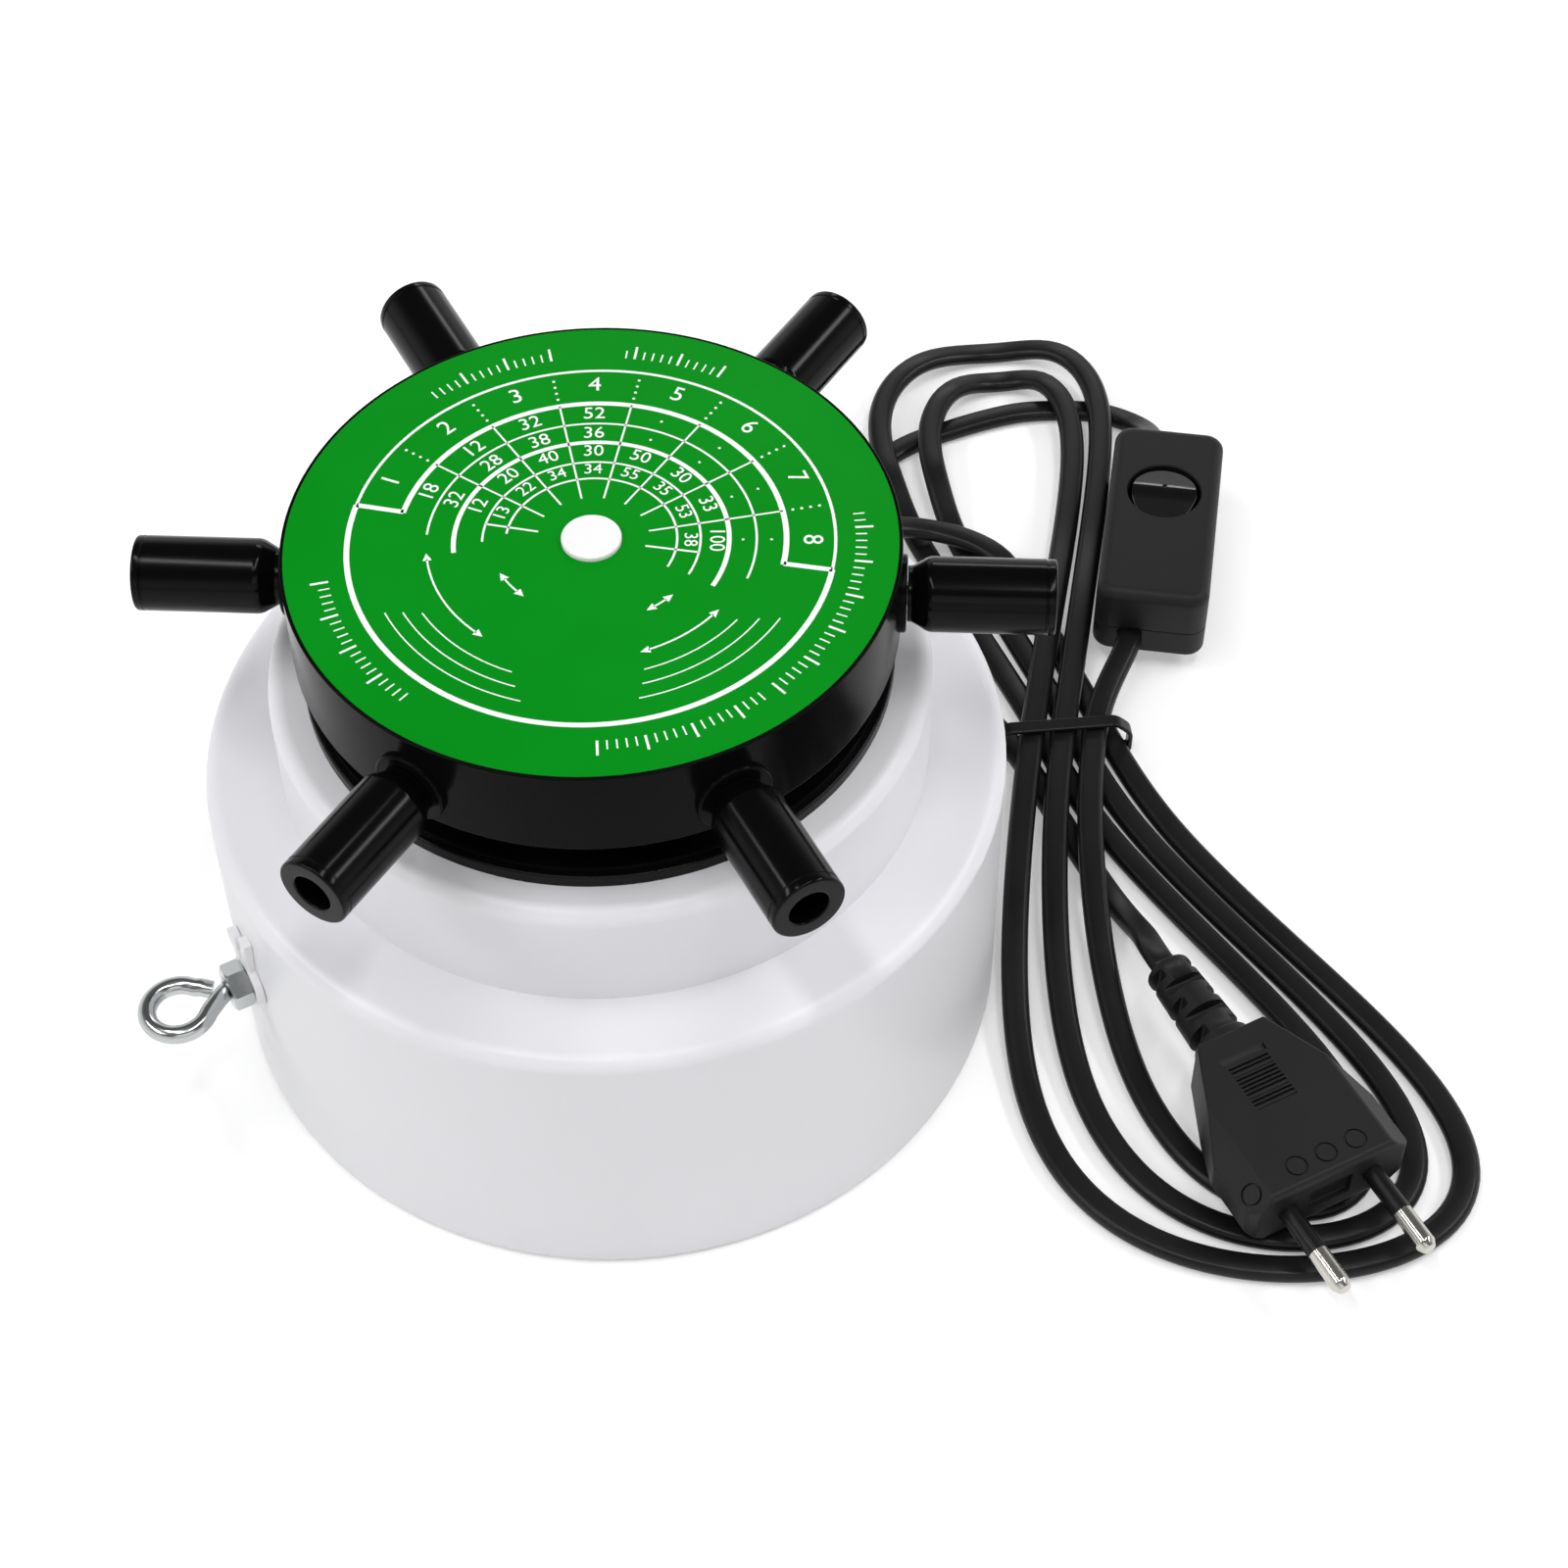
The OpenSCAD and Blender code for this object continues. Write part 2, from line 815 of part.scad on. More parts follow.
// A block with round corners seen from above
module rounded_block(w, l, h, r) {
  linear_extrude(height = h)
    union() {
      square([w - 2 * r, l], center = true);
      square([w, l - 2 * r], center = true);
      for (x = [-1, 1])
        for (y = [-1, 1])
          translate([x * (w / 2 - r), y * (l / 2 - r)])
            circle(r = r, $fn = 32);
    }
}

module at_screws() {
  for (y = [-screw_at[1], screw_at[1]])
    translate([screw_at[0], y, 0])
      children();
}

corner_r = 4;
brow_r = 2.5;

// A cross-section of the switch whose two top corners are round
module arched(w) {
  translate([-w / 2, 0])
    square([w, switch_h - brow_r]);
  translate([-w / 2 + brow_r, 0])
    square([w - 2 * brow_r, switch_h]);
  for (x = [-1, 1])
    translate([x * (w / 2 - brow_r), switch_h - brow_r])
      circle(r = brow_r, $fn = 48);
}

module switch_base() {
  color("black")
    at_switch()
      difference() {
        union() {
          difference() {
            rounded_block(switch_w, switch_l, split_h, corner_r);
            translate([0, 0, 2])
              rounded_block(switch_w - 4, switch_l - 8, split_h, 2);
          }
          at_screws()
            cylinder(r = 3.4, h = split_h);
        }
        at_screws() {
          translate([0, 0, -1])
            cylinder(d = 2.6, h = 10);
          translate([0, 0, -1])
            cylinder(d = 5.4, h = 3);
        }
      }
}

module switch_cover() {
  color("black")
    at_switch()
      difference() {
        union() {
          difference() {
            intersection() {
              translate([0, 0, split_h])
                rounded_block(switch_w, switch_l, switch_h - split_h, corner_r);
              translate([0, switch_l / 2, 0])
                rotate([90, 0, 0])
                  linear_extrude(height = switch_l)
                    arched(switch_w);
              translate([-switch_w / 2, 0, 0])
                rotate([90, 0, 90])
                  linear_extrude(height = switch_w)
                    arched(switch_l);
            }
            translate([0, 0, split_h - 1])
              rounded_block(switch_w - 4, switch_l - 8, switch_h - split_h - roof_t + 1, 2);
          }
          at_screws()
            translate([0, 0, split_h])
              cylinder(r = 2.8, h = switch_h - split_h - 1);
          for (x = [-1, 1])
            translate([x * 9 - 0.8, rocker_at[1] - 3.5, rocker_at[2] - 2.4])
              cube([1.6, 7, 5.5]);
        }
        translate([0, rocker_at[1], split_h])
          cylinder(r = rocker_hole_r, h = switch_h);
        translate(rocker_at)
          rotate([0, 90, 0])
            cylinder(r = 1.05, h = 19.8, center = true);
        at_screws()
          translate([0, 0, split_h - 1])
            cylinder(d = 2.1, h = 8.5);
      }
}

module switch_screws() {
  color("silver")
    at_switch()
      at_screws()
        translate([0, 0, 2])
          rotate([180, 0, 0])
            pan_screw(2, 12, 4.6, 1.5);
}

// Two contact springs under the rocker
module switch_contacts() {
  color("gold")
    at_switch()
      for (y = [-1, 10]) {
        translate([-3, y, 2])
          cube([6, 4, 0.8]);
        translate([-3, y + 1.6, 2.8])
          cube([6, 0.8, 4]);
      }
}

// The round rocker with a ridge across it; its end by the hank is pressed in
module rocker() {
  color("black")
    at_switch()
      translate(rocker_at)
        rotate([rocker_swing / 2, 0, 0]) {
          intersection() {
            translate([0, 0, -3])
              cylinder(r = rocker_r, h = 12);
            rotate([90, 0, 90])
              translate([0, 0, -8])
                linear_extrude(height = 16)
                  polygon([[-8, -3], [8, -3], [8, 3.9], [0, 6.3], [-8, 3.9]]);
          }
          rotate([0, 90, 0])
            cylinder(r = 1, h = 18.6, center = true);
        }
}

pin_out = 19;

module at_plug() {
  translate([plug_face[0], plug_face[1], plug_z])
    rotate(plug_turn)
      children();
}

// The plug's outline from above, from the side and from the front
module plug_plan() {
  polygon([
    [-plug_w / 2 + 1.5, 0], [plug_w / 2 - 1.5, 0], [plug_w / 2, 1.5], [plug_w / 2, 13],
    [plug_w / 2 - 8.5, 32], [plug_w / 2 - 10.5, body_l], [-plug_w / 2 + 10.5, body_l],
    [-plug_w / 2 + 8.5, 32], [-plug_w / 2, 13], [-plug_w / 2, 1.5]
  ]);
}

module plug_side() {
  polygon([
    [0, 2], [1.4, 0.4], [4, 0], [24, 0], [body_l, 0.9], [body_l, plug_h - 0.9],
    [24, plug_h], [4, plug_h], [1.4, plug_h - 0.4], [0, plug_h - 2]
  ]);
}

module plug_front() {
  polygon([
    [-plug_w / 2, 4], [-plug_w / 2 + 4.5, 0], [plug_w / 2 - 4.5, 0], [plug_w / 2, 4],
    [plug_w / 2, plug_h - 4], [plug_w / 2 - 4.5, plug_h], [-plug_w / 2 + 4.5, plug_h],
    [-plug_w / 2, plug_h - 4]
  ]);
}

module plug_body() {
  color("black")
    at_plug()
      difference() {
        intersection() {
          linear_extrude(height = plug_h)
            plug_plan();
          translate([-plug_w / 2, 0, 0])
            rotate([90, 0, 90])
              linear_extrude(height = plug_w)
                plug_side();
          translate([0, body_l, 0])
            rotate([90, 0, 0])
              linear_extrude(height = body_l)
                plug_front();
        }
        for (x = [-1, 1])
          translate([x * pin_gap / 2, -1, plug_mid_h])
            rotate([-90, 0, 0])
              cylinder(d = 3, h = 16);
        translate([-4.6, -1, plug_mid_h - 3])
          cube([9.2, 2.2, 6]);
        for (z = [-0.5, plug_h - 0.6])
          for (k = [0 : 8])
            translate([-5.5, 20.6 + k * 1.4, z])
              cube([11, 0.7, 1.1]);
      }
}

// A flexing neck: short rings that leave a slot on two sides by turns
module plug_relief() {
  color("black")
    at_plug()
      translate([0, body_l, plug_mid_h])
        rotate([-90, 0, 0])
          difference() {
            cylinder(r1 = 6, r2 = 4.2, h = relief_l);
            for (k = [0 : 3])
              for (s = [0, 180])
                rotate(s + 90 * (k % 2))
                  translate([2.8, -8, 3 + k * 4.6])
                    cube([8, 16, 1.8]);
          }
}

module pin_sleeves() {
  color("black")
    at_plug()
      for (x = [-1, 1])
        translate([x * pin_gap / 2, 0, plug_mid_h])
          rotate([90, 0, 0])
            difference() {
              cylinder(d = pin_d, h = 10);
              translate([0, 0, -1])
                cylinder(d = 3, h = 12);
            }
}

module plug_pins() {
  color("silver")
    at_plug()
      for (x = [-1, 1])
        translate([x * pin_gap / 2, 0, plug_mid_h])
          rotate([90, 0, 0]) {
            translate([0, 0, -14])
              cylinder(d = 2.9, h = 25);
            translate([0, 0, 10])
              cylinder(d = pin_d, h = pin_out - 12);
            translate([0, 0, pin_out - 2])
              sphere(d = pin_d, $fn = 48);
          }
}

// The turning head: a cup open below, with a hub, ribs and six arm seats
module head_cup() {
  color("black")
    difference() {
      union() {
        rotate_extrude($fn = 180)
          difference() {
            translate([0, head_z])
              square([head_d / 2, head_h]);
            translate([-1, head_z - 1])
              square([head_d / 2 - cup_wall + 1, head_h - head_plate - dial_t + 1]);
            translate([-1, head_top - dial_t])
              square([dial_d / 2 + 0.06 + 1, dial_t + 1]);
          }
        translate([0, 0, boss_top + washer_t + 0.1])
          cylinder(r = hub_r, h = head_top - dial_t - head_plate - boss_top - washer_t);
        for (k = [0 : arm_count - 1])
          rotate(arm_turn + 30 + k * 60)
            translate([hub_r - 1, -1.2, head_z + 6])
              cube([head_d / 2 - cup_wall - hub_r + 2, 2.4, head_h - dial_t - head_plate - 5.9]);
        for (k = [0 : arm_count - 1])
          outward(arm_turn + k * 60, arm_z)
            translate([0, 0, head_d / 2 - cup_wall - 7])
              cylinder(r = 7, h = boss_out - head_d / 2 + cup_wall + 7);
      }
      translate([0, 0, head_z - 6])
        cylinder(d = spindle_d + 0.04, h = 40);
      for (k = [0 : arm_count - 1])
        outward(arm_turn + k * 60, arm_z)
          translate([0, 0, head_d / 2 - cup_wall - 8])
            cylinder(d = 4.1, h = 20);
      outward(arm_turn + 30, boss_top + washer_t + 3.4)
        translate([0, 0, 1])
          cylinder(d = 4, h = hub_r + 2);
    }
}

module dial_sheet() {
  color("green")
    difference() {
      translate([0, 0, head_top - dial_t])
        cylinder(d = dial_d, h = dial_t, $fn = 180);
      translate([0, 0, head_top - dial_t - 1])
        cylinder(d = cap_d + 0.1, h = dial_t + 2);
    }
}

module centre_cap() {
  color("white") {
    translate([0, 0, head_top - dial_t])
      cylinder(d = cap_d, h = dial_t + cap_rise);
    translate([0, 0, head_top - dial_t - 3])
      cylinder(d = spindle_d - 0.1, h = 3.1);
  }
}

module spindle() {
  color("silver")
    difference() {
      translate([0, 0, motor_plate_z - motor_h + 2.2])
        cylinder(d = spindle_d, h = head_top - 4 - motor_plate_z + motor_h - 2.2);
      rotate(arm_turn + 30)
        translate([spindle_d / 2 - 0.8, -5, boss_top + washer_t + 1])
          cube([5, 10, 6]);
    }
}

module grub_screw() {
  color("dimgray")
    outward(arm_turn + 30, boss_top + washer_t + 3.4)
      translate([0, 0, spindle_d / 2 - 0.75])
        difference() {
          cylinder(d = 3.9, h = 6.5);
          translate([0, 0, 4])
            cylinder(d = 2.2, h = 4, $fn = 6);
        }
}

stud_r = 2;
neck_r = 5;
// Turns an arm's seam away from the planes through its axis
arm_roll = 7;

// One arm: a socket in a tube end, and a neck that the stud draws onto the head
module arm(k) {
  neck = boss_out + 0.1;
  shoulder = neck + 3.8;
  color("black")
    outward(arm_turn + (k - 1) * 360 / arm_count, arm_z)
      rotate(arm_roll)
      rotate_extrude($fn = 96)
        difference() {
          polygon([
            [0, neck], [neck_r, neck], [neck_r, neck + 0.8], [arm_d / 2, shoulder],
            [arm_d / 2, arm_reach - 0.5], [arm_d / 2 - 0.5, arm_reach], [0, arm_reach]
          ]);
          translate([-1, arm_reach - socket_depth])
            square([socket_d / 2 + 1, socket_depth + 1]);
          translate([-1, neck - 1])
            square([stud_r + ease + 1, arm_reach]);
        }
}

module arm_1() { arm(1); }
module arm_2() { arm(2); }
module arm_3() { arm(3); }
module arm_4() { arm(4); }
module arm_5() { arm(5); }
module arm_6() { arm(6); }

stud_in = head_d / 2 - cup_wall - 11.5;

// Studs that hold the arms: a nut inside the head, a driver slot at the socket's end
module arm_studs() {
  color("silver")
    for (k = [0 : arm_count - 1])
      outward(arm_turn + k * 60, arm_z)
        difference() {
          translate([0, 0, stud_in])
            cylinder(r = stud_r, h = arm_reach - socket_depth - 0.1 - stud_in);
          translate([-3, -0.4, arm_reach - socket_depth - 1.1])
            cube([6, 0.8, 2]);
        }
}

module arm_nuts() {
  color("silver")
    for (k = [0 : arm_count - 1])
      outward(arm_turn + k * 60, arm_z)
        translate([0, 0, head_d / 2 - cup_wall - 10.2])
          hex_nut(7, 3.2, 4.1);
}

lower_drum();
upper_drum();
bottom_cover();
base_pad();
cover_screws();
drum_screws();
motor_can();
motor_plate();
motor_screws();
spindle_bush();
lower_disc();
disc_screws();
thrust_washer();
terminal_block();
terminal_screws();
inner_cord();
motor_leads();
cord_relief();
cord_clamp();
clamp_screw();
eye_bolt();
eye_nut();
ear_washer();
inner_washer();
inner_nut();
cord_lead();
cord_hank();
cord_link();
cord_tail();
cord_tie();
switch_base();
switch_cover();
switch_screws();
switch_contacts();
plug_body();
plug_relief();
pin_sleeves();
plug_pins();
head_cup();
dial_sheet();
centre_cap();
spindle();
grub_screw();
arm_1();
arm_2();
arm_3();
arm_4();
arm_5();
arm_6();
arm_studs();
arm_nuts();
rocker();
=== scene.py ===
from math import cos, pi, radians, sin, sqrt

import bmesh
import bpy
from mathutils import Matrix, Vector


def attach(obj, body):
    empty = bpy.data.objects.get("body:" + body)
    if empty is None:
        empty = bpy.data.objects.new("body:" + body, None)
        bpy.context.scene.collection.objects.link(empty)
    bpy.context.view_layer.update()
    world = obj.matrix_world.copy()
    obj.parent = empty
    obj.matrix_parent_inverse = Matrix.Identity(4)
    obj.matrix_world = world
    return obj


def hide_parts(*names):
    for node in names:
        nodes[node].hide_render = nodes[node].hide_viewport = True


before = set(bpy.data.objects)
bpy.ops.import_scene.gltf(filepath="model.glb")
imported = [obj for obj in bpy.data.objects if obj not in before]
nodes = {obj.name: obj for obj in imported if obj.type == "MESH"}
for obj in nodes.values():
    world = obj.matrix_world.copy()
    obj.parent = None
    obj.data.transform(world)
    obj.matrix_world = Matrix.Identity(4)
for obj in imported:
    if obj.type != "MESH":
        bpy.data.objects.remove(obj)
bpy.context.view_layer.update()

# Camera: it looks down on the winder from the front, a little over half a
# metre away, with the picture's upright turned by less than a degree.
eye_at = Vector((0.0, -0.39397, 0.52541))
look = Vector((0.05361, 0.63427, -0.77125)).normalized()
roll = radians(-0.627)
level = look.cross(Vector((0, 0, 1))).normalized()
above = level.cross(look)
right = level * cos(roll) + above * sin(roll)
up = above * cos(roll) - level * sin(roll)
camera = bpy.data.objects.new("camera", bpy.data.cameras.new("camera"))
camera.data.sensor_width = 36
camera.data.lens = 74.18
camera.data.clip_start = 0.01
camera.matrix_world = Matrix.Translation(eye_at) @ Matrix(
    (right, up, -look)).transposed().to_4x4()
bpy.context.scene.collection.objects.link(camera)
bpy.context.scene.camera = camera

# Mains cord: a flat twin sheath, black and smooth, with a shallow groove
# between its two cores. One length runs from the drum through the hank to the
# switch and a second one from the switch to the plug.
mm = 0.001
cord_w, cord_h = 5.4, 3.2

# The hank is a figure eight with its waist in the tie, where three strands lie
# on four others. Each loop has its reach from the waist and the bulge of its
# first and of its second side.
waist = Vector((96, 41))
floor_z = cord_h / 2 + 0.2
tie_lift = 1.1
layer = cord_h + 0.5
slope = 0.25
over_slots = (-6.7, 0, 6.7)
under_slots = (10.05, 3.35, -3.35)
low_loops = ((131, 46, 46), (124.5, 33, 33), (118, 20, 20))
low_shift = 28
high_loops = ((112, 14, 22), (122, 23, 36))
high_shift = 4
hank_cut = 11
loop_points = 40

# Where the strands rise and come down. In mm from the waist: the falls from the
# tie in the lower and in the upper layer, the fall from the upper layer, and the
# climb on to the tail's arc. In degrees round a loop above the tie: where its
# first and its second side come down off that arc.
low_fall, high_fall, layer_fall, climb = (3, 26), (34, 60), (44, 90), (66, 80)
first_fall, second_fall = (72, 90), (70, 90)


def ease_in(x, a, b):
    """A smooth step from 0 at a to 1 at b."""
    t = min(1, max(0, (x - a) / (b - a)))
    return t * t * (3 - 2 * t)


def lobe_side(t, reach, bulge, power, shift):
    """How far a strand lies beside the waist, t degrees round its loop."""
    s, c = sin(radians(t)), cos(radians(t))
    return c * (slope * reach * s + bulge * s**power) + shift * s * s * (2 - s)


def low_point(t, k):
    """A point of one of the three loops below the tie, t degrees round it."""
    reach, first, second = low_loops[k]
    s = reach * sin(radians(t))
    u = (1 - cos(radians(t))) / 2
    slot = under_slots[k] * (1 - u) + over_slots[k] * u
    if t < 90:
        lift = tie_lift * (1 - ease_in(s, *low_fall))
    else:
        lift = tie_lift * (1 - ease_in(s, *high_fall)) + layer * (1 - ease_in(s, *layer_fall))
    side = lobe_side(t, reach, first if t < 90 else second, 2, low_shift)
    return Vector((waist.x + slot + side, waist.y - s, floor_z + lift))


def high_point(t, k):
    """A point of one of the two loops above the tie, t degrees round it."""
    reach, first, second = high_loops[k]
    s = reach * sin(radians(t))
    u = (1 - cos(radians(t))) / 2
    slot = over_slots[k] * (1 - u) + under_slots[k + 1] * u
    if t < 90:
        lift = tie_lift * (1 - ease_in(s, *high_fall)) + layer * (1 - ease_in(t, *first_fall))
    else:
        lift = tie_lift * (1 - ease_in(s, *low_fall)) + layer * min(
            ease_in(s, *climb), 1 - ease_in(180 - t, *second_fall))
    side = lobe_side(t, reach, first if t < 90 else second, 4 if t < 90 else 2, high_shift)
    return Vector((waist.x + slot + side, waist.y + s, floor_z + lift))


def turned(x, y, angle):
    """The flat vector x, y turned by an angle in degrees."""
    c, s = cos(radians(angle)), sin(radians(angle))
    return Vector((x * c - y * s, x * s + y * c))


# Where the switch and the plug lie on the strands, and where the cord enters them.
switch_turn, switch_mid, switch_z = -14, Vector((123.8, 88.7)), 4.4
switch_l = 52
entry_off, entry_z = -4, 5.6
plug_turn, plug_face, plug_z = 22, Vector((128, -79.5)), 4.6
body_l, relief_l, plug_h = 36, 22, 13.8


def on_switch(x, y, z):
    """A point in the table's frame from one in the switch's."""
    return Vector((*(switch_mid + turned(x, y, switch_turn)), switch_z + z))


def on_plug(x, y, z):
    """A point in the table's frame from one in the plug's."""
    return Vector((*(plug_face + turned(x, y, plug_turn)), plug_z + z))


# The route, as the cord runs: the lead from the back right of the drum to the
# waist, the hank, the link to the switch, and the tail from there to the plug.
exit_turn = radians(60)
cord_dir = Vector((cos(exit_turn), sin(exit_turn), 0))
cord_z = 14
relief_tip = 101
lead_bend, lead_bend_r = Vector((72, 80.8)), 22
lead_arch = ((150, 13.8), (133, 12.5), (115, 10.4), (98, 8.2), (81, 6.5), (63, 5.8),
             (46, 5.6), (36, 5.6), (26, 4.8), (18, 3.4), (10, 2.2))
lead = [cord_dir * (relief_tip + r) + Vector((0, 0, cord_z)) for r in (0, 2.6)]
for angle, z in lead_arch:
    lead.append(Vector((*(lead_bend + turned(lead_bend_r, 0, angle)), z)))
lead.append(Vector((94.9, 79, 1.8)))
for s in (32, 24, 16, 8):
    lead.append(Vector((waist.x + under_slots[0] - slope * s, waist.y + s,
                        floor_z + tie_lift * (1 - ease_in(s, *low_fall)))))
lead += [low_point(t, 0) for t in (0, 3.5, 7)]
n = loop_points
hank = [low_point(hank_cut + (180 - hank_cut) * i / n, 0) for i in range(n + 1)]
hank += [high_point(180 * i / n, 0) for i in range(1, n)]
hank += [low_point(180 * i / n, 1) for i in range(n + 1)]
hank += [high_point(180 * i / n, 1) for i in range(1, n)]
hank += [low_point((180 - hank_cut) * i / n, 2) for i in range(n + 1)]
link = [low_point(t, 2) for t in (172.5, 176, 179.5)]
link += [Vector((105.2, 48, 7.3)), Vector((108.9, 54.8, 8.8)),
         on_switch(entry_off, -switch_l / 2 - 3.2, entry_z),
         on_switch(entry_off, -switch_l / 2, entry_z)]
tail = [on_switch(entry_off, switch_l / 2 + y, entry_z) for y in (0, 4)]
tail += [Vector(p) for p in (
    (128.5, 123.6, 8.4), (129, 128.4, 5.8), (128.1, 133.2, 3.3), (124.9, 137.6, 1.8),
    (118.8, 140.9, 1.8), (110.5, 142.2, 1.8), (102, 142.6, 1.8), (93, 140.9, 1.8),
    (84, 138.2, 1.8), (74.4, 134.6, 1.8), (67, 129.3, 1.8), (62, 121.5, 1.8),
    (60, 112, 1.8), (60.4, 102.5, 1.8), (62.2, 93, 1.8), (65.4, 83, 1.8),
    (69.4, 73, 1.8), (74, 63, 2.1), (79, 53, 2.7), (83.8, 44.5, 2.9), (87.6, 35.5, 2.9),
    (90.8, 26, 2.6), (94.2, 16, 2.1), (97.8, 6, 1.8), (100.5, -1, 1.9),
    (102.8, -8, 3.8), (104, -14, 7.4))]
tail += [on_plug(0, body_l + relief_l + y, plug_h / 2) for y in (4.6, 0)]


def smooth_route(points, step):
    """A smooth line along the points, in metres, with a point about every step mm."""
    parts, passes = 12, 3
    p = [points[0] * 2 - points[1]] + points + [points[-1] * 2 - points[-2]]
    fine = []
    for i in range(1, len(p) - 2):
        a, b, c, d = p[i - 1:i + 3]
        ta = max((b - a).length, 1e-6)**0.5
        tb = max((c - b).length, 1e-6)**0.5
        tc = max((d - c).length, 1e-6)**0.5
        m1 = (c - b) + tb * ((b - a) / ta - (c - a) / (ta + tb))
        m2 = (c - b) + tb * ((d - c) / tc - (d - b) / (tb + tc))
        for k in range(parts):
            t = k / parts
            fine.append(b * (2 * t**3 - 3 * t * t + 1) + m1 * (t**3 - 2 * t * t + t)
                        + c * (3 * t * t - 2 * t**3) + m2 * (t**3 - t * t))
    fine.append(points[-1].copy())
    walked = [0.0]
    for a, b in zip(fine, fine[1:]):
        walked.append(walked[-1] + (b - a).length)
    count = round(walked[-1] / step)
    route, k = [], 0
    for i in range(count + 1):
        want = walked[-1] * i / count
        while k < len(walked) - 2 and walked[k + 1] < want:
            k += 1
        f = (want - walked[k]) / max(walked[k + 1] - walked[k], 1e-9)
        route.append(fine[k].lerp(fine[k + 1], min(1, f)))
    for _ in range(passes):
        route = [route[0], route[1]] + [
            (route[i - 1] + route[i] * 2 + route[i + 1]) / 4
            for i in range(2, len(route) - 2)] + [route[-2], route[-1]]
    return [q * mm for q in route]


def twin_outline():
    """The sheath's cross-section: two round cores side by side, as side and up in metres."""
    core, apart, count = cord_h / 2, (cord_w - cord_h) / 2, 9
    round_end, groove = radians(78), core * 0.9
    half = []
    for i in range(count + 1):
        a = round_end * (2 * i / count - 1)
        half.append((apart + core * cos(a), core * sin(a)))
    points = half + [(0, groove)] + [(-x, z) for x, z in reversed(half)] + [(0, -groove)]
    return [(x * mm, z * mm) for x, z in points]


def sweep(name, route, outline):
    """A closed tube along the route, with its outline kept level, and a UV along it."""
    uv_per_metre = 10
    mesh = bmesh.new()
    run = mesh.loops.layers.uv.new("run")
    rings, travelled = [], [0.0]
    for i, p in enumerate(route):
        ahead = (route[min(i + 1, len(route) - 1)] - route[max(i - 1, 0)]).normalized()
        side = Vector((-ahead.y, ahead.x, 0)).normalized()
        raised = ahead.cross(side)
        rings.append([mesh.verts.new(p + side * x + raised * z) for x, z in outline])
        if i:
            travelled.append(travelled[-1] + (p - route[i - 1]).length)
    m = len(outline)
    for i in range(len(route) - 1):
        for k in range(m):
            face = mesh.faces.new((rings[i][k], rings[i][(k + 1) % m],
                                   rings[i + 1][(k + 1) % m], rings[i + 1][k]))
            face.smooth = True
            for loop, (ring, corner) in zip(
                    face.loops, ((i, k), (i, k + 1), (i + 1, k + 1), (i + 1, k))):
                loop[run].uv = (travelled[ring] * uv_per_metre, corner / m)
    mesh.faces.new(rings[0])
    mesh.faces.new(reversed(rings[-1]))
    bmesh.ops.recalc_face_normals(mesh, faces=mesh.faces)
    data = bpy.data.meshes.new(name)
    mesh.to_mesh(data)
    mesh.free()
    piece = bpy.data.objects.new(name, data)
    bpy.context.scene.collection.objects.link(piece)
    return piece


class Wire:
    """A socket of a material; sums and products of wires add Math nodes."""

    def __init__(self, finish, socket):
        self.finish, self.socket = finish, socket

    def _math(self, operation, a, b):
        return self.finish.node("ShaderNodeMath", {"operation": operation}, {0: a, 1: b})

    def __add__(self, other):
        return self._math("ADD", self, other)

    def __radd__(self, other):
        return self._math("ADD", other, self)

    def __mul__(self, other):
        return self._math("MULTIPLY", self, other)

    def __rmul__(self, other):
        return self._math("MULTIPLY", other, self)


class Finish:
    """The nodes of one material, or of the sky: node() adds one, set() feeds the shader."""

    def __init__(self, name, owner=None, shader="Principled BSDF"):
        self.material = owner or bpy.data.materials.new(name)
        self.material.use_nodes = True
        self.tree = self.material.node_tree
        self.shader = self.tree.nodes[shader]

    def node(self, kind, settings=None, sockets=None, out=0):
        """Add a node by its type, settings and sockets, and give one of its outputs."""
        made = self.tree.nodes.new(kind)
        for key, value in (settings or {}).items():
            if key == "stops":
                for element, (place, colour) in zip(made.color_ramp.elements, value):
                    element.position, element.color = place, colour
            else:
                setattr(made, key, value)
        for key, value in (sockets or {}).items():
            self._feed(made.inputs[key], value)
        return Wire(self, made.outputs[out])

    def _feed(self, socket, value):
        if isinstance(value, Wire):
            self.tree.links.new(value.socket, socket)
        else:
            socket.default_value = value

    def set(self, **sockets):
        """Feed the shader's sockets, whose names have an underscore for each space."""
        for key, value in sockets.items():
            self._feed(self.shader.inputs[key.replace("_", " ")], value)

    def place(self, scale=(1, 1, 1)):
        """Object coordinates, multiplied by scale."""
        spot = self.node("ShaderNodeTexCoord", out="Object")
        return self.node("ShaderNodeMapping", None, {"Vector": spot, "Scale": scale})

    def noise(self, scale, detail, rough=0.5, at=None):
        """A soft noise from 0 to 1, on Object coordinates unless another place is given."""
        return self.node("ShaderNodeTexNoise", None, {
            "Vector": at or self.place(), "Scale": scale, "Detail": detail,
            "Roughness": rough}, out="Fac")

    def bump(self, height, strength, distance):
        return self.node("ShaderNodeBump", None, {
            "Strength": strength, "Distance": distance, "Height": height})

    def blend_colours(self, mask, a, b):
        return self.node("ShaderNodeMix", {"data_type": "RGBA"},
                         {"Factor": mask, "A": a, "B": b}, out="Result")


def grey(v, tint=0.0):
    """A grey of one value, with its blue raised by the tint."""
    return (v, v, v * (1 + tint), 1)


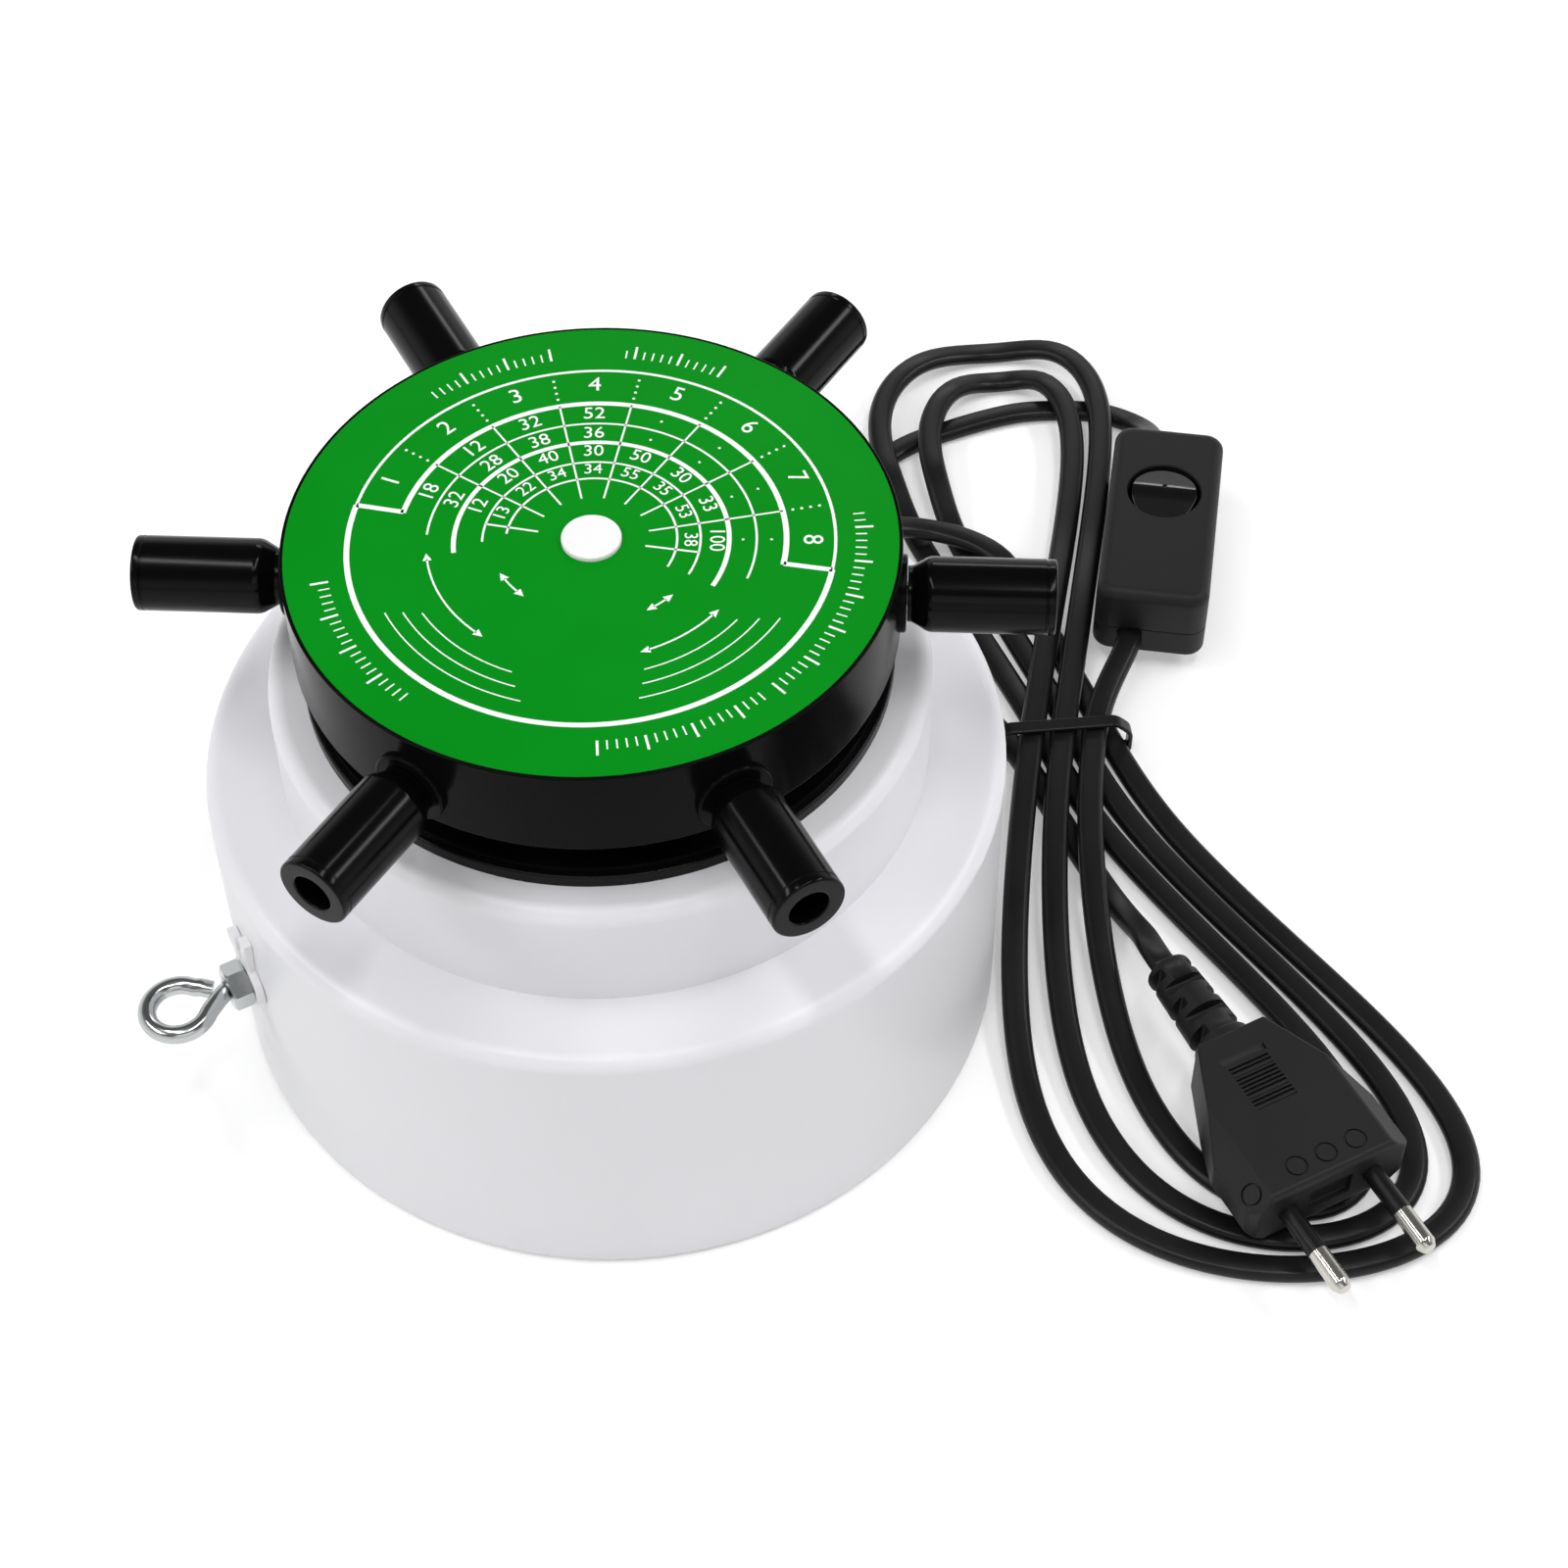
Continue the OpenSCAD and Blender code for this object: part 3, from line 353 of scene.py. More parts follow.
def moulded(name, colour, rough, grain=900, height=0.01, swing=0.12, shade=0.9, sheen=0.5):
    """A moulded plastic: fine grain, a slight cloud in its gloss and in its colour."""
    finish = Finish(name)
    cloud = finish.noise(35, 3)
    fine = finish.noise(grain, 2, 0.6)
    darker = (colour[0] * shade, colour[1] * shade, colour[2] * shade, 1)
    finish.set(
        Base_Color=finish.blend_colours(cloud, darker, colour),
        Roughness=cloud * swing + fine * (swing * 0.5) + (rough - swing * 0.75),
        Specular_IOR_Level=sheen,
        Normal=finish.bump(fine, 0.35, height * mm))
    return finish.material


def give(piece, material):
    """Make the material the piece's only one."""
    piece.data.materials.clear()
    piece.data.materials.append(material)


def sheath(name):
    """The cord's sheath: smooth, slightly waxy black with faint lines along its run."""
    finish = Finish(name)
    run = finish.node("ShaderNodeUVMap", {"uv_map": "run"})
    drawn = finish.node("ShaderNodeMapping", None, {"Vector": run, "Scale": (6, 260, 1)})
    lines = finish.noise(1, 2, 0.5, drawn)
    cloud = finish.noise(60, 3)
    finish.set(
        Base_Color=finish.blend_colours(cloud, grey(0.004, 0.04), grey(0.008, 0.05)),
        Roughness=cloud * 0.12 + lines * 0.06 + 0.25,
        Specular_IOR_Level=0.25,
        Normal=finish.bump(lines, 0.12, 0.02 * mm))
    return finish.material


cord_black = sheath("cord_black")
long_route = smooth_route(lead + hank + link, 2.2)
short_route = smooth_route(tail, 2.0)
mains_cord = sweep("mains_cord", long_route, twin_outline())
plug_cord = sweep("plug_cord", short_route, twin_outline())
for piece, replaced in ((mains_cord, ("cord_lead", "cord_hank", "cord_link")),
                        (plug_cord, ("cord_tail",))):
    give(piece, cord_black)
    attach(piece, "base")
    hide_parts(*replaced)


def route_length(route):
    """The length of the line along a route's points."""
    return sum((b - a).length for a, b in zip(route, route[1:]))


round(route_length(long_route), 3)
round(route_length(short_route), 3)

# White drums: two thin moulded shells of satin plastic, the narrow one standing
# on the wide one's shelf and held to it by screws from below.
drum_white = moulded("drum_white", (0.78, 0.78, 0.81, 1), 0.36, grain=700, height=0.012,
                     swing=0.10, shade=0.97)
for name in ("lower_drum", "upper_drum"):
    give(nodes[name], drum_white)

# Foot: a flat grey cover closes the wide drum, with a rubber sheet glued under
# it and plain pan-head screws.
cover_grey = moulded("cover_grey", (0.26, 0.26, 0.27, 1), 0.55, grain=1400, height=0.03)
foot_rubber = moulded("foot_rubber", grey(0.02), 0.8, grain=1800, height=0.05, swing=0.1,
                      shade=0.7, sheen=0.3)


def metal(name, colour, rough, stretch=(1, 1, 1), grain=900, swing=0.14, height=0.01):
    """A plated or turned metal: its gloss varies in a cloud and along fine marks."""
    finish = Finish(name)
    cloud = finish.noise(60, 3)
    marks = finish.noise(grain, 2, 0.6, finish.place(stretch))
    duller = tuple(c * 0.82 for c in colour)
    finish.set(
        Base_Color=finish.blend_colours(cloud, (*duller, 1), (*colour, 1)),
        Metallic=1.0,
        Roughness=cloud * swing + marks * (swing * 0.6) + (rough - swing * 0.8),
        Normal=finish.bump(marks, 0.3, height * mm))
    return finish.material


zinc = metal("zinc_plate", (0.60, 0.61, 0.62), 0.34)
give(nodes["bottom_cover"], cover_grey)
give(nodes["base_pad"], foot_rubber)
for name in ("cover_screws", "drum_screws", "clamp_screw", "switch_screws"):
    give(nodes[name], zinc)

# Drive: a geared motor hangs from its plate under the roof of the narrow drum,
# and a sintered bush and washer carry the spindle.
can_zinc = metal("can_zinc", (0.50, 0.50, 0.49), 0.42, stretch=(1, 1, 0.1), grain=1200,
                 swing=0.2)
bronze = metal("sintered_bronze", (0.42, 0.24, 0.10), 0.5, grain=2200, swing=0.16, height=0.03)
ground_steel = metal("ground_steel", (0.58, 0.58, 0.59), 0.22, stretch=(1, 1, 8), grain=500,
                     swing=0.1)
for name in ("motor_can", "motor_plate"):
    give(nodes[name], can_zinc)
for name in ("spindle_bush", "thrust_washer"):
    give(nodes[name], bronze)
for name in ("motor_screws", "disc_screws", "arm_nuts"):
    give(nodes[name], zinc)
give(nodes["spindle"], ground_steel)
give(nodes["grub_screw"], metal("black_oxide", (0.08, 0.08, 0.085), 0.45))

# Wiring in the drum: an ivory terminal block and cord post, brass clamps, the
# black cord and two blue leads to the motor.
ivory = moulded("terminal_ivory", (0.60, 0.54, 0.36, 1), 0.45, height=0.02)
brass = metal("contact_brass", (0.56, 0.38, 0.12), 0.3)
give(nodes["terminal_block"], ivory)
give(nodes["cord_clamp"], ivory)
give(nodes["terminal_screws"], brass)
give(nodes["switch_contacts"], brass)
give(nodes["inner_cord"], moulded("inner_sheath", grey(0.014), 0.4, grain=500, height=0.02))
give(nodes["motor_leads"],
     moulded("lead_blue", (0.01, 0.05, 0.24, 1), 0.42, grain=500, height=0.02))

# Lower disc: a flat plate of black plastic screwed on top of the drums, whose thin
# round edge catches the light below the head.
disc_black = moulded("disc_black", grey(0.003, 0.05), 0.28, grain=800, height=0.008,
                     swing=0.10, sheen=0.15)
give(nodes["lower_disc"], disc_black)

# Turning head: a black cup moulded in gloss plastic, with a hub and six ribs
# under its plate, a shallow recess for the dial and a round seat for each arm.
head_r, head_z, head_top = 54.5, 98.65, 117.45
cup_wall, plate_low, recess_r, dial_t = 3, 114.45, 53.91, 0.6
hub_r, hub_low, spindle_r = 10, 96.4, 3.52
arm_turn, arm_z, seat_r, seat_in, seat_out = -7.8, 105.85, 7, 45, 55.4
stud_hole, stud_in, stud_out, grub_hole, grub_z = 2.05, 43, 63, 2, 99.7
rib_t, rib_low, sink = 2.4, head_z + 6, 1
turns = [arm_turn + 60 * k for k in range(6)]


def start(operator, name, **settings):
    """Add a primitive with nothing else selected, and name it."""
    bpy.ops.object.select_all(action="DESELECT")
    operator(**settings)
    piece = bpy.context.object
    piece.name = piece.data.name = name
    return piece


def choose(kind, test):
    """Select the vertices or edges that pass the test on their place in mm and direction."""
    bpy.ops.mesh.select_mode(type=kind)
    bpy.ops.mesh.select_all(action="DESELECT")
    data = bpy.context.edit_object.data
    mesh = bmesh.from_edit_mesh(data)
    if kind == "VERT":
        found = [v for v in mesh.verts if test(v.co / mm)]
    else:
        found = [e for e in mesh.edges
                 if test((e.verts[0].co + e.verts[1].co) / 2 / mm,
                         (e.verts[1].co - e.verts[0].co).normalized())]
    for part in found:
        part.select_set(True)
    mesh.select_flush_mode()
    bmesh.update_edit_mesh(data)


def fill():
    """Fill the drawn outline with one face, in edit mode."""
    bpy.ops.mesh.select_all(action="SELECT")
    bpy.ops.mesh.edge_face_add()


def pull(move):
    """Extrude what is selected, by a move in metres, in edit mode."""
    bpy.ops.mesh.extrude_region_move(TRANSFORM_OT_translate={"value": move})


def ease_corners(width, segments=4):
    """Round the selected corners of an outline, in edit mode."""
    bpy.ops.mesh.bevel(offset=width * mm, segments=segments, affect="VERTICES")


def drawn_line(name, corners, closed=True):
    """Draw a line from corner to corner by extruding one point, and stay in edit mode."""
    piece = start(bpy.ops.mesh.primitive_plane_add, name, size=mm, location=(0, 0, 0))
    bpy.ops.object.mode_set(mode="EDIT")
    bpy.ops.mesh.select_mode(type="VERT")
    bpy.ops.mesh.merge(type="CENTER")
    spots = [Vector(corner) * mm for corner in corners]
    bpy.ops.transform.translate(value=spots[0])
    for here, there in zip(spots, spots[1:]):
        pull(there - here)
    if closed:
        ends = Vector(corners[0]), Vector(corners[-1])
        choose("VERT", lambda p: min((p - end).length for end in ends) < 0.001)
        bpy.ops.mesh.edge_face_add()
    return piece


def tidy_up(angle=35):
    """Merge doubles, turn the faces outwards and leave edit mode with soft shading."""
    bpy.ops.mesh.select_all(action="SELECT")
    bpy.ops.mesh.remove_doubles(threshold=1e-6)
    bpy.ops.mesh.normals_make_consistent(inside=False)
    bpy.ops.object.mode_set(mode="OBJECT")
    bpy.ops.object.shade_smooth_by_angle(angle=radians(angle))


def turned_piece(name, corners, steps=96, closed=True):
    """Turn a profile of radius, height and edge rounding round the upright axis."""
    piece = drawn_line(name, [(r, 0, z) for r, z, *_ in corners], closed)
    for r, z, *soft in corners:
        if soft:
            choose("VERT", lambda p: abs(p.x - r) < 0.001 and abs(p.z - z) < 0.001)
            ease_corners(soft[0])
    bpy.ops.mesh.select_all(action="SELECT")
    bpy.ops.mesh.spin(steps=steps, angle=2 * pi, center=(0, 0, 0), axis=(0, 0, 1))
    tidy_up()
    return piece


def pick(*pieces):
    """Select these pieces alone, with the first one active."""
    bpy.ops.object.select_all(action="DESELECT")
    for piece in pieces:
        piece.select_set(True)
    bpy.context.view_layer.objects.active = pieces[0]


def settle(piece, place):
    """Carry the piece to its place and leave the move in its mesh."""
    pick(piece)
    piece.matrix_world = place @ piece.matrix_world
    bpy.ops.object.transform_apply(location=True, rotation=True, scale=True)
    return piece


def move_by(x, y, z):
    """A move, in mm."""
    return Matrix.Translation(Vector((x, y, z)) * mm)


def turn_by(angle, axis="Z"):
    """A turn about one of the axes, in degrees."""
    return Matrix.Rotation(radians(angle), 4, axis)


def outward(turn, z, roll=0):
    """The place of a piece that stands out from the axis at a turn and a height."""
    return turn_by(turn) @ move_by(0, 0, z) @ turn_by(90, "Y") @ turn_by(roll)


def joined(pieces, name):
    """Make one object of several."""
    pick(*pieces)
    if len(pieces) > 1:
        bpy.ops.object.join()
    pieces[0].name = pieces[0].data.name = name
    return pieces[0]


def work_in(piece, tools, operation):
    """Add, cut or keep what the tools fill, then throw the tools away."""
    tool = joined(tools, "tool")
    pick(piece)
    step = piece.modifiers.new("step", "BOOLEAN")
    step.operation, step.object, step.solver = operation, tool, "EXACT"
    bpy.ops.object.modifier_apply(modifier="step")
    bpy.data.objects.remove(tool)
    bpy.ops.object.shade_smooth_by_angle(angle=radians(35))
    return piece


def soften(piece, width, angle=40, segments=3):
    """Round every edge that is sharper than the angle."""
    pick(piece)
    edge = piece.modifiers.new("edge", "BEVEL")
    edge.width, edge.segments, edge.limit_method = width * mm, segments, "ANGLE"
    edge.angle_limit, edge.harden_normals = radians(angle), True
    edge.miter_outer = "MITER_ARC"
    bpy.ops.object.modifier_apply(modifier="edge")
    return piece


def rod(name, r, low, high, sides=48):
    """A plain round bar along the upright axis, for cutting and joining."""
    piece = start(bpy.ops.mesh.primitive_cylinder_add, name, vertices=sides, radius=r * mm,
                  depth=(high - low) * mm, location=(0, 0, (high + low) / 2 * mm))
    bpy.ops.object.transform_apply(location=True, rotation=True, scale=True)
    return piece


def bar(name, low, high):
    """A plain block between two corners, for cutting, joining and shaping."""
    low, high = Vector(low) * mm, Vector(high) * mm
    piece = start(bpy.ops.mesh.primitive_cube_add, name, size=1, location=(low + high) / 2,
                  scale=high - low)
    bpy.ops.object.transform_apply(location=True, rotation=True, scale=True)
    return piece


def fit(piece, body, slot, material, *replaced):
    """Finish a piece: even shading, material, body and the node it stands for. The slot is not
    used.
    """
    pick(piece)
    piece.modifiers.new("even", "WEIGHTED_NORMAL").keep_sharp = True
    bpy.ops.object.modifier_apply(modifier="even")
    give(piece, material)
    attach(piece, body)
    if replaced:
        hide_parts(*replaced)


head = turned_piece("head_shell", [
    (spindle_r, hub_low, 0.3), (hub_r, hub_low, 0.4), (hub_r, plate_low, 1.2),
    (head_r - cup_wall, plate_low, 1.2), (head_r - cup_wall, head_z, 0.4),
    (head_r, head_z, 0.6), (head_r, head_top, 0.35), (recess_r, head_top, 0.1),
    (recess_r, head_top - dial_t), (spindle_r, head_top - dial_t)], 180)
seats = [settle(turned_piece("seat", [
    (0, seat_in), (seat_r, seat_in), (seat_r, seat_out, 0.5), (0, seat_out)], 64, False),
    outward(turn, arm_z)) for turn in turns]
ribs = [settle(bar("rib", (hub_r - sink, -rib_t / 2, rib_low),
                   (head_r - cup_wall + sink, rib_t / 2, plate_low + 0.2)),
               turn_by(turn + 30)) for turn in turns]
work_in(head, seats + ribs, "UNION")
bores = [settle(rod("bore", stud_hole, stud_in, stud_out, 32), outward(turn, arm_z))
         for turn in turns]
bores.append(settle(rod("grub_bore", grub_hole, 1, hub_r + 2, 24),
                    outward(arm_turn + 30, grub_z)))
work_in(head, bores, "DIFFERENCE")
head_black = moulded("head_black", grey(0.003, 0.06), 0.18, grain=500, height=0.006,
                     swing=0.08, sheen=0.035)
fit(head, "head", "head_black", head_black, "head_cup")

# Dial: a thin round sheet of green enamelled aluminium glued into the recess,
# printed in white with a table of columns, plain numbers, scales and arrows.
dial_r, dial_hole, ink_sink, ink_t = 53.85, 5.4, 0.01, 0.045
dial = turned_piece("dial_plate", [
    (dial_hole, head_top - dial_t), (dial_r, head_top - dial_t),
    (dial_r, head_top, 0.12), (dial_hole, head_top, 0.1)], 180)


def enamel():
    """Green enamel: even gloss with a slight flow in the coat and in the colour."""
    finish = Finish("dial_enamel")
    cloud = finish.noise(28, 3)
    flow = finish.noise(260, 3, 0.5)
    finish.set(
        Base_Color=finish.blend_colours(
            cloud, (0.0, 0.205, 0.005, 1), (0.0, 0.255, 0.010, 1)),
        Roughness=cloud * 0.10 + flow * 0.06 + 0.27,
        Specular_IOR_Level=0.08,
        Normal=finish.bump(flow, 0.25, 0.02 * mm))
    return finish.material


fit(dial, "head", "dial_green", enamel(), "dial_sheet")
ink_low = head_top - ink_sink
ink_high = ink_low + ink_t


def on_dial(r, turn, tilt=-90):
    """A place on the dial; a tilt of -90 turns the piece's own upright outwards."""
    return turn_by(turn) @ move_by(r, 0, 0) @ turn_by(tilt)


def printed_arc(r, width, first, last):
    """A ring or part of a ring of ink."""
    piece = drawn_line("arc", [(r - width / 2, 0, ink_low), (r + width / 2, 0, ink_low),
                               (r + width / 2, 0, ink_high), (r - width / 2, 0, ink_high)])
    bpy.ops.mesh.select_all(action="SELECT")
    sweep_turn = last - first
    bpy.ops.mesh.spin(steps=max(3, round(sweep_turn / 2)), angle=radians(sweep_turn),
                      center=(0, 0, 0), axis=(0, 0, 1))
    bpy.ops.mesh.select_all(action="SELECT")
    bpy.ops.mesh.remove_doubles(threshold=1e-6)
    bpy.ops.mesh.fill_holes(sides=4)
    tidy_up()
    return settle(piece, turn_by(last))


def printed_line(turn, inner, outer, width):
    """A straight line of ink that points at the axis."""
    return settle(bar("line", (inner, -width / 2, ink_low), (outer, width / 2, ink_high)),
                  turn_by(turn))


def printed_number(text, r, turn, height):
    """A plain number of one height, with its foot towards the middle of the dial."""
    digit_share = 0.70
    piece = start(bpy.ops.object.text_add, "number", location=(0, 0, 0))
    piece.data.body = text
    piece.data.align_x = piece.data.align_y = "CENTER"
    piece.data.size = height / digit_share * mm
    piece.data.extrude = ink_t / 2 * mm
    piece.data.resolution_u = 3
    bpy.ops.object.convert(target="MESH")
    piece = bpy.context.object
    bpy.ops.object.mode_set(mode="EDIT")
    tidy_up()
    return settle(piece, move_by(0, 0, (ink_high + ink_low) / 2) @ on_dial(r, turn))


def printed_dot(r, turn, size):
    """A round dot of ink."""
    return settle(rod("dot", size / 2, ink_low, ink_high, 12), on_dial(r, turn))


def printed_arrow(r, turn, way):
    """The head of an arrow that runs round the dial, one way or the other."""
    half, length = 0.8, 1.7
    piece = drawn_line("arrow", [(-half, 0, ink_low), (half, 0, ink_low), (0, length, ink_low)])
    fill()
    pull((0, 0, ink_t * mm))
    tidy_up()
    return settle(piece, on_dial(r, turn, 0 if way > 0 else 180))


# The print's radii and line widths are in mm and its turns in degrees from the
# right. Each arc has its radius, width, start and end; each scale its two ends.
ring_r, band_r, column_edge = 42.7, 34.1, (163, -15.5)
arcs = ((ring_r, 1.0, 163, 344.5), (ring_r, 0.55, -15.5, 163), (band_r, 1.0, -15.9, 163.4),
        (28.9, 0.4, -24.5, 172), (24.1, 0.85, -33, 182), (19.1, 0.4, -31.5, 176),
        (15.0, 0.4, -31.5, 169))
sweeps = ((33.2, 206, 243), (36.0, 203, 246), (38.8, 201, 249),
          (32.0, 283, 318), (35.0, 281, 322), (38.0, 279, 325))
arrows = ((28.8, 182, 226), (28, -75, -43), (17.4, 205, 222), (19.6, -62, -50))
scales = ((57, 79), (96, 124), (-52, 3), (268, 304), (187, 226))
columns = (152.6, 128.9, 107.4, 85.9, 63.2, 40.2, 17.5, -5.7)
dividers = (141.4, 118.5, 96.6, 74.5, 51.7, 28.9, 6)
table = (("18", "32", "12", "13"), ("12", "28", "20", "22"), ("32", "38", "40", "34"),
         ("52", "36", "30", "34"), (".", ".", "50", "55"), (".", ".", "30", "35"),
         (".", ".", "33", "53"), (".", ".", "100", "38"))
row_places = (31.5, 26.5, 21.9, 17.3)
row_heights = (2.9, 2.8, 2.7, 2.4)
ink = [printed_arc(*arc) for arc in arcs]
ink += [printed_line(turn, band_r, ring_r, 1.0) for turn in column_edge]
ink += [printed_line(turn, 10.2, band_r, 0.35) for turn in dividers]
ink += [printed_line(turn, 9.6, 19.1, 0.4) for turn in (163, -15)]
for k, turn in enumerate(columns):
    ink.append(printed_number(str(k + 1), 39.0 if k != 7 else 38.6, turn, 3.5))
    for text, r, height in zip(table[k], row_places, row_heights):
        if text == ".":
            ink.append(printed_dot(r, turn, 0.5))
        else:
            ink.append(printed_number(text, r, turn, height))
for turn in dividers:
    ink += [printed_dot(r, turn, 0.55) for r in (35.9, 37.5, 39.1, 40.7)]
for r, first, last in arrows:
    ink.append(printed_arc(r, 0.35, first + 2, last - 2))
    ink += [printed_arrow(r, last - 2.5, 1), printed_arrow(r, first + 2.5, -1)]
ink += [printed_arc(r, 0.25, first, last) for r, first, last in sweeps]
for first, last in scales:
    for turn in range(first, last + 1, 2):
        outer, width = (49.4, 0.45) if (turn - first) % 10 == 0 else (48.2, 0.28)
        ink.append(printed_line(turn, 46.2, outer, width))
print_white = moulded("print_white", (0.86, 0.87, 0.86, 1), 0.45, height=0.004, swing=0.1,
                      shade=0.97)
fit(joined(ink, "dial_print"), "head", "dial_green", print_white)

# Centre cap: a white plastic button whose peg is pressed into the hub's bore,
# over the top of the spindle.
peg_r, peg_low, cap_r, cap_edge, cap_top = 3.45, 113.85, 5.35, 118.4, 118.65
cap_low = head_top - dial_t
cap = turned_piece("cap_button", [
    (0, peg_low), (peg_r, peg_low, 0.3), (peg_r, cap_low), (cap_r, cap_low),
    (cap_r, cap_edge, 0.5), (0, cap_top)], 64, False)
fit(cap, "head", "cap_white", moulded("cap_white", grey(0.88), 0.3, grain=700), "centre_cap")

# Arms: six tubes turned from black plastic rod, each held to its seat by a
# slotted steel stud through its bottom and a nut inside the cup.
neck_in, neck_r, shoulder, arm_r, arm_end = 55.5, 5, 59.3, 6.75, 81.7
socket_r, socket_floor, line_r = 3.65, 65.7, arm_r - 0.16
arm_black = moulded("arm_black", grey(0.002, 0.05), 0.16, grain=420, height=0.005,
                    swing=0.06, shade=0.85, sheen=0.11)
first_arm = turned_piece("arm", [
    (stud_hole, neck_in, 0.1), (neck_r, neck_in, 0.2), (neck_r, neck_in + 0.8, 0.3),
    (arm_r, shoulder, 0.7), (arm_r, arm_end - 1.9), (line_r, arm_end - 1.75),
    (line_r, arm_end - 1.55), (arm_r, arm_end - 1.4), (arm_r, arm_end, 0.5),
    (socket_r, arm_end, 0.35), (socket_r, socket_floor, 0.4), (stud_hole, socket_floor, 0.1)], 96)
for k, turn in enumerate(turns):
    arm = first_arm.copy()
    arm.data = first_arm.data.copy()
    arm.name = arm.data.name = "arm_tube_%d" % (k + 1)
    bpy.context.scene.collection.objects.link(arm)
    settle(arm, outward(turn, arm_z, 7))
    fit(arm, "head", "arm_black", arm_black, "arm_%d" % (k + 1))
bpy.data.objects.remove(first_arm)
give(nodes["arm_studs"], zinc)

# Hanging eye: a steel rod bent into a ring with an S at its near side and a
# sawn end beside it, and threaded for the nuts that clamp the drum's wall.
eye_turn, eye_z, eye_reach = 203.4, 37.7, 90.2
ring_mid_r, wire_r, ring_rise = 5.85, 1.75, 0.45
thread_r, root_r, pitch, thread_in, thread_out = 2.45, 2.08, 0.8, 60, 81
nut_w, nut_t, nut_in, nut_roll = 8, 4, 76.5, 21


def bent_rod(name, points, r):
    """A round rod bent along the points, with sawn ends."""
    piece = drawn_line(name, points, False)
    bpy.ops.object.mode_set(mode="OBJECT")
    bpy.ops.object.convert(target="CURVE")
    piece = bpy.context.object
    piece.data.bevel_depth = r * mm
    piece.data.bevel_resolution = 6
    piece.data.use_fill_caps = True
    bpy.ops.object.convert(target="MESH")
    piece = bpy.context.object
    bpy.ops.object.mode_set(mode="EDIT")
    tidy_up()
    return piece


bend = [(-7.4, -1.75, -0.8), (-6.85, -2.1, -0.7), (-6.25, -2.55, -0.55), (-5.6, -3.05, -0.4)]
bend += [(ring_mid_r * cos(radians(t)), ring_mid_r * sin(radians(t)),
          ring_rise * (t - 360) / 140) for t in range(218, 501, 6)]
bend += [(-5.1, 3.35, 0.5), (-5.8, 2.85, 0.5), (-6.45, 2.4, 0.5), (-7.1, 1.95, 0.5),
         (-7.75, 1.5, 0.45), (-8.4, 1.05, 0.35), (-9.0, 0.6, 0.2), (-9.6, 0.2, 0.1), (-10.4, 0, 0)]
eye = settle(bent_rod("eye_rod", bend, wire_r), move_by(eye_reach, 0, eye_z))
thread = [(0, thread_in), (2, thread_in)]
z = thread_in + pitch / 2
while z < thread_out - pitch:
    thread += [(thread_r, z + 0.2), (thread_r, z + 0.3), (root_r, z + 0.55), (root_r, z + 0.65)]
    z += pitch
thread += [(1.9, thread_out), (0, thread_out)]
shank = turned_piece("thread", thread, 40, False)
work_in(eye, [settle(shank, outward(0, eye_z))], "UNION")
settle(eye, turn_by(eye_turn))
soften(eye, 0.12, 60, 2)
bright_steel = metal("bright_steel", (0.56, 0.58, 0.58), 0.20, grain=1100, swing=0.12)
fit(eye, "base", "bright_steel", bright_steel, "eye_bolt")


def hex_nut(name, across, thick, bore):
    """A nut cut from hexagon bar, with its corners chamfered and its bore countersunk."""
    flat_r, corner, bore_r = across / 2, across / sqrt(3), bore / 2
    chamfer_r, chamfer_slope, sink_depth = flat_r - 0.1, 0.58, 0.3
    chamfer_t = (corner + 0.4 - flat_r) * chamfer_slope
    nut = rod(name, corner, 0, thick, 6)
    ball = turned_piece("chamfer", [
        (0, -0.01), (chamfer_r, -0.01), (corner + 0.3, chamfer_t),
        (corner + 0.3, thick - chamfer_t), (chamfer_r, thick + 0.01), (0, thick + 0.01)],
        72, False)
    work_in(nut, [ball], "INTERSECT")
    hole = turned_piece("hole", [
        (0, -1), (bore_r + 1.3, -1), (bore_r, sink_depth), (bore_r, thick - sink_depth),
        (bore_r + 1.3, thick + 1), (0, thick + 1)], 40, False)
    return work_in(nut, [hole], "DIFFERENCE")


nut = settle(hex_nut("outer_nut", nut_w, nut_t, bore=5),
             outward(eye_turn, eye_z, nut_roll) @ move_by(0, 0, nut_in))
fit(nut, "base", "bright_steel", bright_steel, "eye_nut")
for name in ("inner_nut", "inner_washer"):
    give(nodes[name], bright_steel)
give(nodes["ear_washer"], moulded("ear_white", (0.84, 0.84, 0.85, 1), 0.35, grain=800))

# Cord relief: a soft black grommet in the drum's wall, whose tail is slotted on
# alternate sides so that the cord bends gently where it leaves.
relief_rubber = moulded("relief_rubber", grey(0.009, 0.04), 0.45, grain=1200, height=0.02,
                        swing=0.1, shade=0.8, sheen=0.25)
give(nodes["cord_relief"], relief_rubber)

# Cord tie: a soft black strip pulled tight round the seven strands of the hank,
# with its small head at the left.
tie_w, tie_h, tie_t, tie_deep, tie_corner = 30.4, 9.4, 0.9, 3, 3.4
tie_head_l, tie_head_h = 4, 2.4
side, top = tie_w / 2, tie_h / 2
tie = drawn_line("tie_band", [
    (-side, 0, -top), (side, 0, -top), (side, 0, top - tie_corner), (side - tie_corner, 0, top),
    (-side + tie_corner, 0, top), (-side, 0, top - tie_corner)])
choose("VERT", lambda p: p.z < -top + 0.01)
ease_corners(1.2)
choose("VERT", lambda p: p.z > top - tie_corner - 0.1)
ease_corners(1.3)
fill()
bpy.ops.mesh.inset(thickness=tie_t * mm, use_boundary=True, use_even_offset=True)
bpy.ops.mesh.delete(type="FACE")
bpy.ops.mesh.select_all(action="SELECT")
pull((0, tie_deep * mm, 0))
tidy_up()
soften(tie, 0.28, 50, 3)
